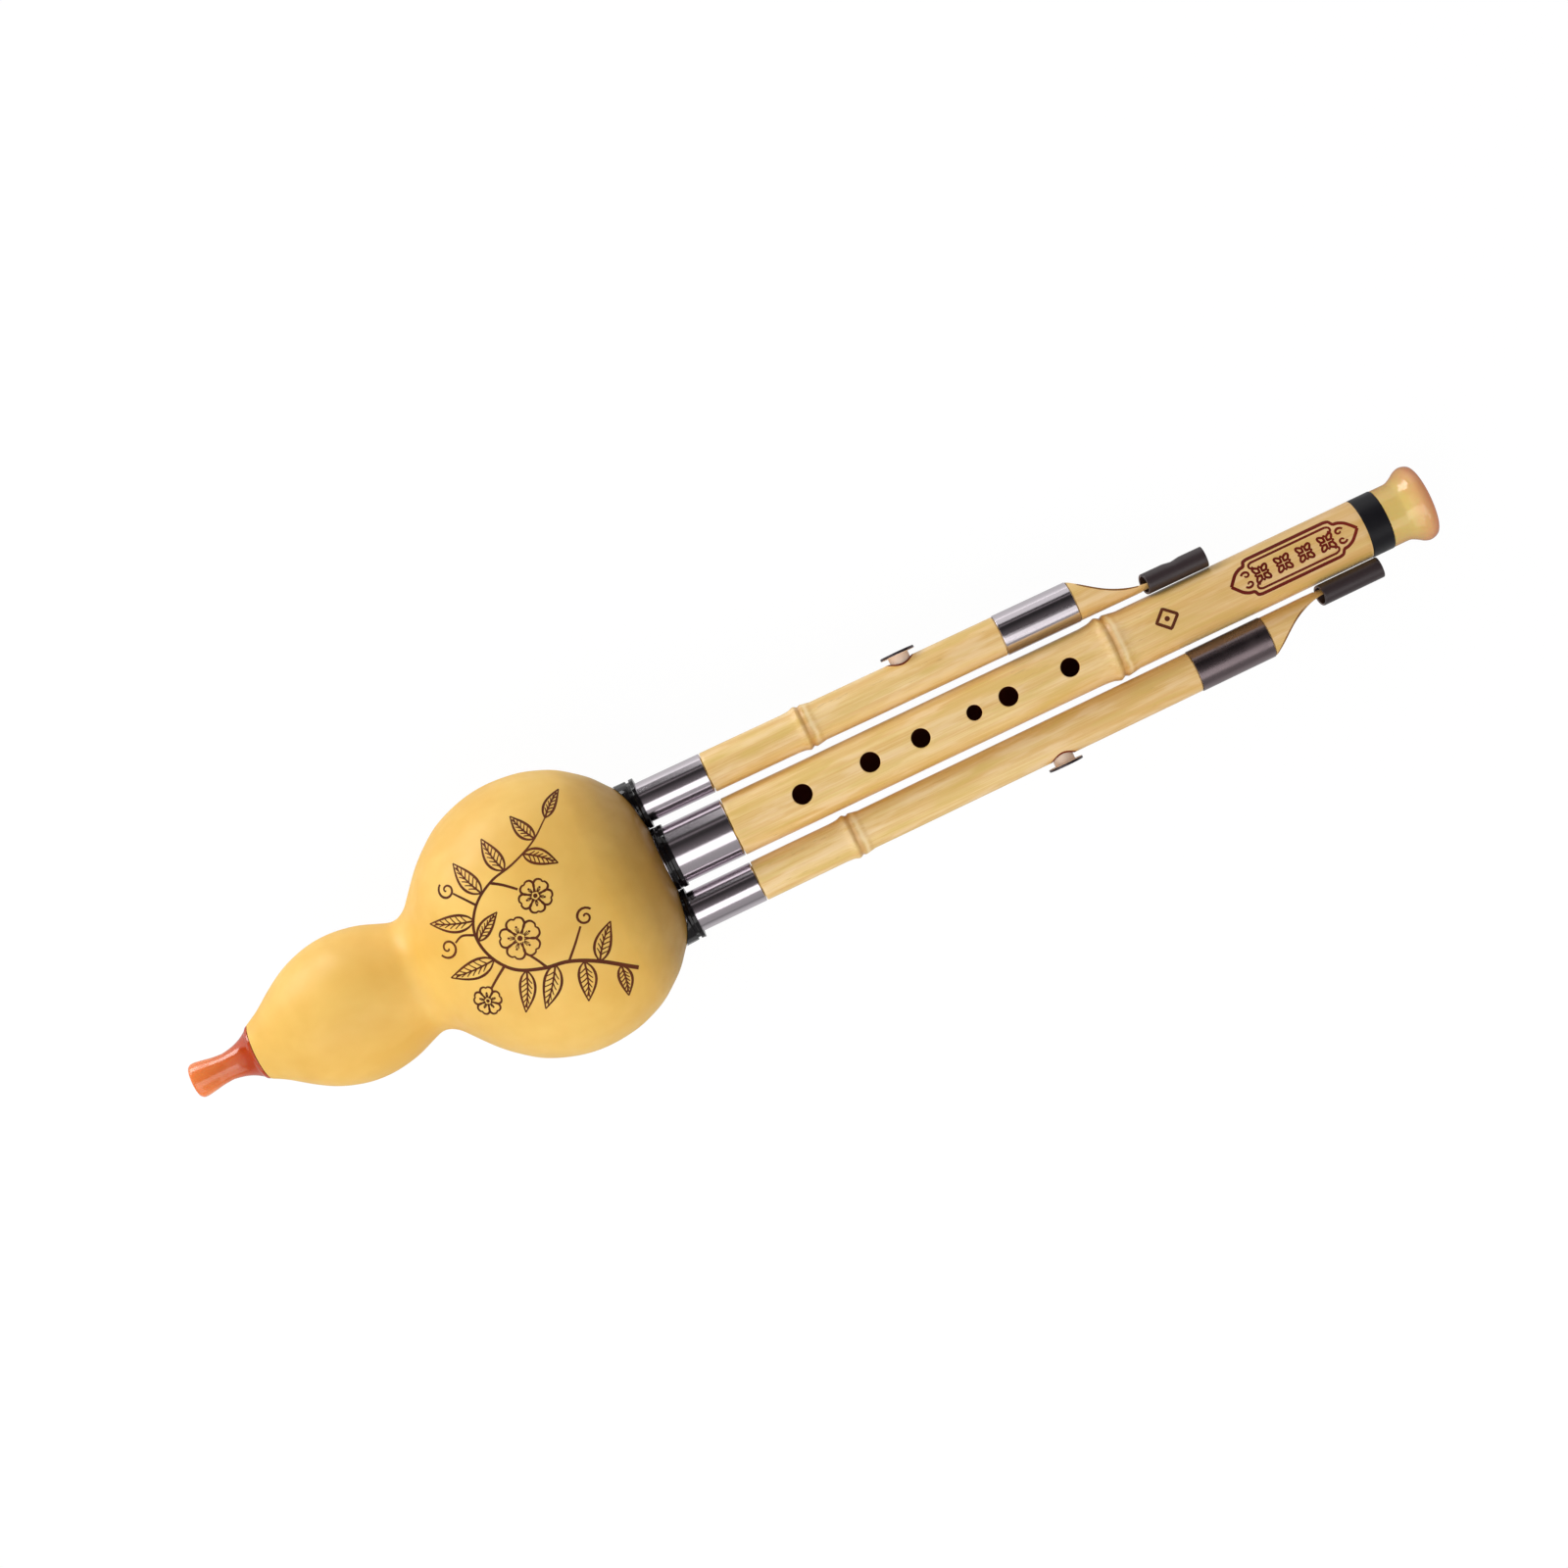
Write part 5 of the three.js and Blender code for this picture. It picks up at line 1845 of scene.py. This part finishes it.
    def on_tail(self, x: float, y: float) -> tuple[np.ndarray, np.ndarray]:
        """The point and the outward direction of the front of the tail over a place and side."""
        radius = self.tail_radius
        held = max(-radius, min(radius, y)) * 0.995
        out = np.array([0, held, math.sqrt(radius * radius - held * held)]) / radius
        return np.array([x, 0, 0]) + out * (radius - 0.02), out

    def cut_edge(self) -> None:
        """Darken the front edge that the scoop leaves."""
        line = [(x, self.side.value * (y - 0.2)) for x, y in self.scoop_line(self.band_end + FIT_GAP)
                if x < self.sleeve_start - self.slant - 1]
        art = Engraving(self.on_tail, lift=0.04)
        art.line(line, (0.3, 0.6, 0.5, 0.6, 0.3))
        self.put(f"{self.name}_cut_line", art.skin, [CUT_LINE])

    def taper(self, tail: float) -> Skin:
        """What thins the strip's back edge towards the sleeve."""
        _, centre = self.sleeve_centre
        low = centre - self.sleeve_radius + self.sleeve_wall + FIT_GAP
        start, end = self.sleeve_start - self.taper_length, self.tongue_start
        edge = [(start + (end - start) * t, self.strip_back + (low - self.strip_back) * smooth_step(t))
                for t in np.linspace(0, 1, 17)]
        beyond = self.tail_radius + OVERRUN
        outline = [*edge, (tail + OVERRUN, low), (tail + OVERRUN, -beyond), (start, -beyond)]
        return prism(outline, -beyond, beyond, upright=False)

    def tongue_tool(self, tail: float) -> Skin:
        """What leaves only a tongue of the strip inside the sleeve."""
        y, z = self.sleeve_centre
        inner = self.sleeve_radius - self.sleeve_wall - FIT_GAP
        start = self.sleeve_start - self.slant - FIT_GAP
        tool = turned([(start, inner), (tail + OVERRUN, inner), (tail + OVERRUN, FAR), (start, FAR)],
                      self.tool_sides)
        return moved(tool, Matrix.Translation((0, y, z)))

    def band(self) -> None:
        """Make the metal band."""
        outer = self.tail_radius + self.band_proud
        outline = tube(self.band_end - self.band_length, self.band_end, outer, outer - self.band_wall,
                       (0.15, 0.15, 0.1, 0.1))
        self.put(f"{self.name}_metal_band", turned(outline, self.sizes.around), [self.band_finish],
                 f"{self.name}_band")

    def sleeve(self) -> None:
        """Make the black sleeve, slanted at its open end and pinched on the upper drone."""
        outer, inner = self.sleeve_radius, self.sleeve_radius - self.sleeve_wall
        length = self.sleeve_length
        y, z = self.sleeve_centre
        dented = [length * share for share in self.dent_shares]
        outline = rounded([(0, outer, 0.2), *((x, outer, 0) for x in dented), (length, outer, 0.3),
                           (length, inner, 0.15), *((x, inner, 0) for x in reversed(dented)),
                           (0, inner, 0.15)], True, hold=0.4)

        def shaped(points: np.ndarray) -> np.ndarray:
            """Slant the open end, and pinch the middle."""
            done = points.copy()
            share = (outer - points[:, 2]) / (2 * outer)
            done[:, 0] += self.sleeve_start - self.slant * share * (1 - points[:, 0] / length)
            if self.crimped:
                facing = np.maximum(points[:, 1] * self.side.value / outer, 0) ** 2
                pinch = np.exp(-((points[:, 0] - length / 2) / self.dent_length) ** 2)
                done[:, 1] -= self.side.value * self.crimp_depth * facing * pinch
            return done + np.array([0, y, z])

        skin = turned(outline, self.sides, shaped)
        skin.pick(1, lambda middle: middle[0] < self.sleeve_start - self.slant / 2 + 0.12
                  and math.hypot(middle[1] - y, middle[2] - z) > inner)
        self.put(f"{self.name}_shrunk_sleeve", skin, [CHARCOAL, CHARCOAL_RIM], f"{self.name}_sleeve")

    def stopper(self) -> None:
        """Make the button-like stopper, which comes out on its own."""
        low = self.sizes.radius - self.reach
        under = self.sizes.radius + self.stand_off
        top = under + self.head_thick
        outline = rounded([
            (low, 0, 0), (low, self.shank, 0.2), (under, self.shank, 0),
            (under, self.head, 0.2), (top, self.head, 0.3), (top, 0, 0)], False)
        outwards = Matrix.Rotation(self.side.value * math.pi / 2, 4, "Z")
        skin = turned(outline, self.sides).pick(1, lambda middle: middle[0] > under + 0.05)
        skin = moved(skin, Matrix.Translation((self.stopper_place, 0, 0)) @ outwards)
        loose = Assembly(self.seat, self.plug_body, self.palette)
        loose.put(f"{self.name}_button", skin, [WARM_PLATE, DARK_RIM], f"{self.name}_stopper")


@dataclass
class UpperDrone(Drone):
    """The shorter drone, with a chrome band and a dent in its sleeve."""

    plug_body: Body = Body.UPPER_PLUG
    joint_place: float = 34.2
    stopper_place: float = 69.7
    sleeve_start: float = 149.2
    scoop_length: float = 23.0
    crimped: bool = True
    band_finish: Finish = BRIGHT_PLATE


@dataclass
class LowerDrone(Drone):
    """The longer drone, with a band of chrome painted darker as shade, and a smooth sleeve."""

    plug_body: Body = Body.LOWER_PLUG
    joint_place: float = 33.4
    stopper_place: float = 102.7
    sleeve_start: float = 197.2
    scoop_length: float = 20.8
    crimped: bool = False
    band_finish: Finish = SHADED_CHROME


# Studio


@dataclass(frozen=True)
class SoftBox:
    """A soft box: where it hangs, what it faces, its size in metres and its power."""

    name: str
    place: Place
    target: Place
    size: Point
    power: float


def looking(here: Vector, out: Vector, up: Vector) -> Matrix:
    """The place of a lamp or camera that faces against a direction."""
    turn = Matrix((up.cross(out), up, out)).transposed()
    return Matrix.Translation(here) @ turn.to_4x4()


@dataclass
class Studio:
    """The floor, the lights, the world and the camera."""

    seat: Matrix
    tilt: float = math.radians(25.38)
    lens: float = 62.0
    sensor: float = 36.0
    stand: Place = (20.3, 5.3, 845.0)
    aim: Place = (20.3, 5.3, 0.0)
    sight: float = 20.0
    end_on: float = 0.8
    floor_half: float = 12.0
    paper: Colour = (0.62, 0.62, 0.62, 1)
    paper_glow: float = 1.045
    paper_glow_share: float = 0.92
    side_fill: Colour = (0.52, 0.52, 0.53, 1)
    end_fill: Colour = (0.3, 0.3, 0.31, 1)
    room_tone: Colour = (1, 0.9, 0.93, 1)
    boxes: tuple[SoftBox, ...] = (
        SoftBox("main_box", (-480, -440, 775), (-480, 0, 0), (1.3, 0.55), 3.4),
        SoftBox("main_box_end", (370, -590, 680), (370, 0, 0), (0.4, 0.55), 0.6),
        SoftBox("soft_edge", (-650, -760, 300), (-630, 0, 0), (0.9, 0.7), 2.0),
        SoftBox("soft_edge_end", (250, -760, 330), (250, 0, 0), (0.8, 0.7), 0.5),
        SoftBox("upper_strip", (-560, 740, 70), (-540, 0, 0), (0.85, 0.42), 5.7),
        SoftBox("upper_strip_end", (330, 740, 130), (330, 0, 0), (0.7, 0.6), 1.0),
        SoftBox("left_box", (-760, 40, 480), (-80, 0, 0), (0.6, 0.9), 0.6))

    def build(self) -> None:
        """Set the studio up."""
        self.floor()
        self.world()
        self.lights()
        self.camera()

    def spot(self, place: Place) -> Vector:
        """A place in the instrument's frame, in the world."""
        return self.seat @ (Vector(place) * MM)

    def floor(self) -> None:
        """Lay a pale floor that keeps a faint shadow."""
        mesh = bpy.data.meshes.new("floor")
        half = self.floor_half
        mesh.from_pydata([(-half, -half, 0), (half, -half, 0), (half, half, 0), (-half, half, 0)], [],
                         [(0, 1, 2, 3)])
        floor = linked("studio_floor", mesh)
        mesh.materials.append(self.paper_material())

    def paper_material(self) -> Material:
        """Matt paper that glows to the camera, and glows less in reflections close to the pipes: a painted shadow
        of the instrument.
        """
        material = bpy.data.materials.new("paper")
        material.use_nodes = True
        wiring = Wiring(material.node_tree)
        out = wiring.node("ShaderNodeOutputMaterial")
        paper = wiring.node("ShaderNodeBsdfDiffuse")
        paper.inputs["Color"].default_value = self.paper
        glow = wiring.node("ShaderNodeEmission")
        glow.inputs["Color"].default_value = WHITE
        path = wiring.node("ShaderNodeLightPath")
        seen = wiring.seen(path)
        _, across, _ = wiring.axes(wiring.node("ShaderNodeTexCoord").outputs["Object"])
        # Painted shadow: the glow that metal mirrors is dimmer close under the pipes.
        mirrored = wiring.times(wiring.spread(across, 0.04, 0.3, 0.6, 1.0),
                                wiring.spread(across, -0.3, -0.06, 0.4, 1.0))
        wiring.feed(glow.inputs["Strength"],
                    wiring.sum("MAXIMUM", wiring.times(seen, self.paper_glow), mirrored))
        mix = wiring.node("ShaderNodeMixShader")
        wiring.feed(mix.inputs[0],
                    wiring.sum("MULTIPLY_ADD", seen, self.paper_glow_share, path.outputs["Is Glossy Ray"]))
        wiring.feed(mix.inputs[1], paper.outputs[0])
        wiring.feed(mix.inputs[2], glow.outputs[0])
        wiring.feed(out.inputs["Surface"], mix.outputs[0])
        return material

    def world(self) -> None:
        """White to the camera, a soft grey for light, and in reflections a dark room with a soft glow."""
        world = bpy.data.worlds.new("studio")
        bpy.context.scene.world = world
        world.use_nodes = True
        wiring = Wiring(world.node_tree)
        out = wiring.node("ShaderNodeOutputWorld")
        back = wiring.node("ShaderNodeBackground")
        path = wiring.node("ShaderNodeLightPath")
        along, across, _ = wiring.axes(wiring.node("ShaderNodeTexCoord").outputs["Generated"])
        glow = wiring.times(wiring.spread(across, -0.98, -0.4, 0.07, 0.24),
                            wiring.spread(across, -0.06, 0.44, 1.0, 0.16))
        glow = wiring.times(glow, wiring.spread(along, 0.0, 0.12, 1.0, 0.35))
        glow = wiring.sum("ADD", glow, wiring.stripe(across, 0.69, 0.02, 0.06, 0.2))
        room = wiring.blend(1.0, self.room_tone, glow, "MULTIPLY")
        fill = wiring.blend(wiring.spread(along, 0.3, 1.0), self.side_fill, self.end_fill)
        colour = wiring.blend(path.outputs["Is Glossy Ray"], fill, room)
        wiring.feed(back.inputs["Color"], wiring.blend(wiring.seen(path), colour, WHITE))
        wiring.feed(out.inputs["Surface"], back.outputs[0])

    def lights(self) -> None:
        """Hang the soft boxes."""
        turn = self.seat.to_3x3()
        for box in self.boxes:
            data = bpy.data.lights.new(box.name, "AREA")
            data.shape = "RECTANGLE"
            data.size, data.size_y = box.size
            data.energy = box.power
            lamp = linked(box.name, data)
            here = self.spot(box.place)
            out = (here - self.spot(box.target)).normalized()
            along = turn @ Vector((1, 0, 0))
            if abs(out.dot(along)) > self.end_on:
                along = turn @ Vector((0, 0, 1))
            lamp.matrix_world = looking(here, out, out.cross(along).normalized())

    def camera(self) -> None:
        """Stand the camera at the photograph's angle."""
        data = bpy.data.cameras.new("camera")
        data.lens, data.sensor_width = self.lens, self.sensor
        data.clip_end = self.sight
        camera = linked("camera", data)
        here, target = self.spot(self.stand), self.spot(self.aim)
        out = (here - target).normalized()
        upright = self.seat.to_3x3() @ Vector((math.sin(self.tilt), math.cos(self.tilt), 0))
        camera.matrix_world = looking(here, out, (upright - out * upright.dot(out)).normalized())
        bpy.context.scene.camera = camera
        bpy.context.scene.view_settings.view_transform = "Standard"


def between(inner: Matrix, outer: Matrix) -> Matrix:
    """The matrix from one frame to another, in millimetres."""
    step = outer.inverted() @ inner
    step.translation = step.translation / MM
    return step


def main() -> None:
    """Build the hulusi from gourd to bell, and set it in its studio."""
    logging.basicConfig(level=logging.INFO, format="%(name)s: %(message)s")
    palette = Palette()
    chest = (Body.WIND_CHEST, palette)
    across = Vector((0, 1, 0))
    drone_seats = {side: framed(slide_axis(f"{side.name.lower()}_drone_tuning_slide"), across,
                                SEAT @ Vector((0, side.value * SPACING * MM, 0))) for side in Side}
    to_gourd = {side: between(place, SEAT) for side, place in drone_seats.items()}
    gourd = Gourd(SEAT, *chest)
    sockets = [(step, DRONE_SIZES.radius) for step in to_gourd.values()]
    gourd.build([(Matrix(), MELODY_SIZES.radius), *sockets])
    sprig = Engraving(gourd.on_front)
    Sprig(sprig).draw()
    gourd.put("burnt_sprig", sprig.skin, [BURNT_LINE])
    Mouthpiece(SEAT, *chest).build()
    parting = MELODY_SIZES.parting
    Mounting(SEAT, *chest, "melody", MELODY_SIZES, gourd, Matrix(), least=-parting, most=parting).build()
    Reed(SEAT, Body.MELODY, palette, "melody", MELODY_SIZES).build()
    MelodyPipe(SEAT, Body.MELODY, palette).build()
    parting = DRONE_SIZES.parting
    for side, kind, least, most in ((Side.UPPER, UpperDrone, -parting, FAR),
                                    (Side.LOWER, LowerDrone, -FAR, parting)):
        seat, step = drone_seats[side], to_gourd[side]
        along = step.to_3x3() @ Vector((1, 0, 0))
        body = Body[f"{side.name}_DRONE"]
        drone = kind(seat, body, palette, side, toe_in=math.atan2(abs(along.y), along.x))
        Mounting(seat, *chest, drone.name, DRONE_SIZES, gourd, step, least=least, most=most).build()
        Reed(seat, body, palette, drone.name, DRONE_SIZES).build()
        drone.build()
    Studio(SEAT).build()


if __name__ == "__main__":
    main()
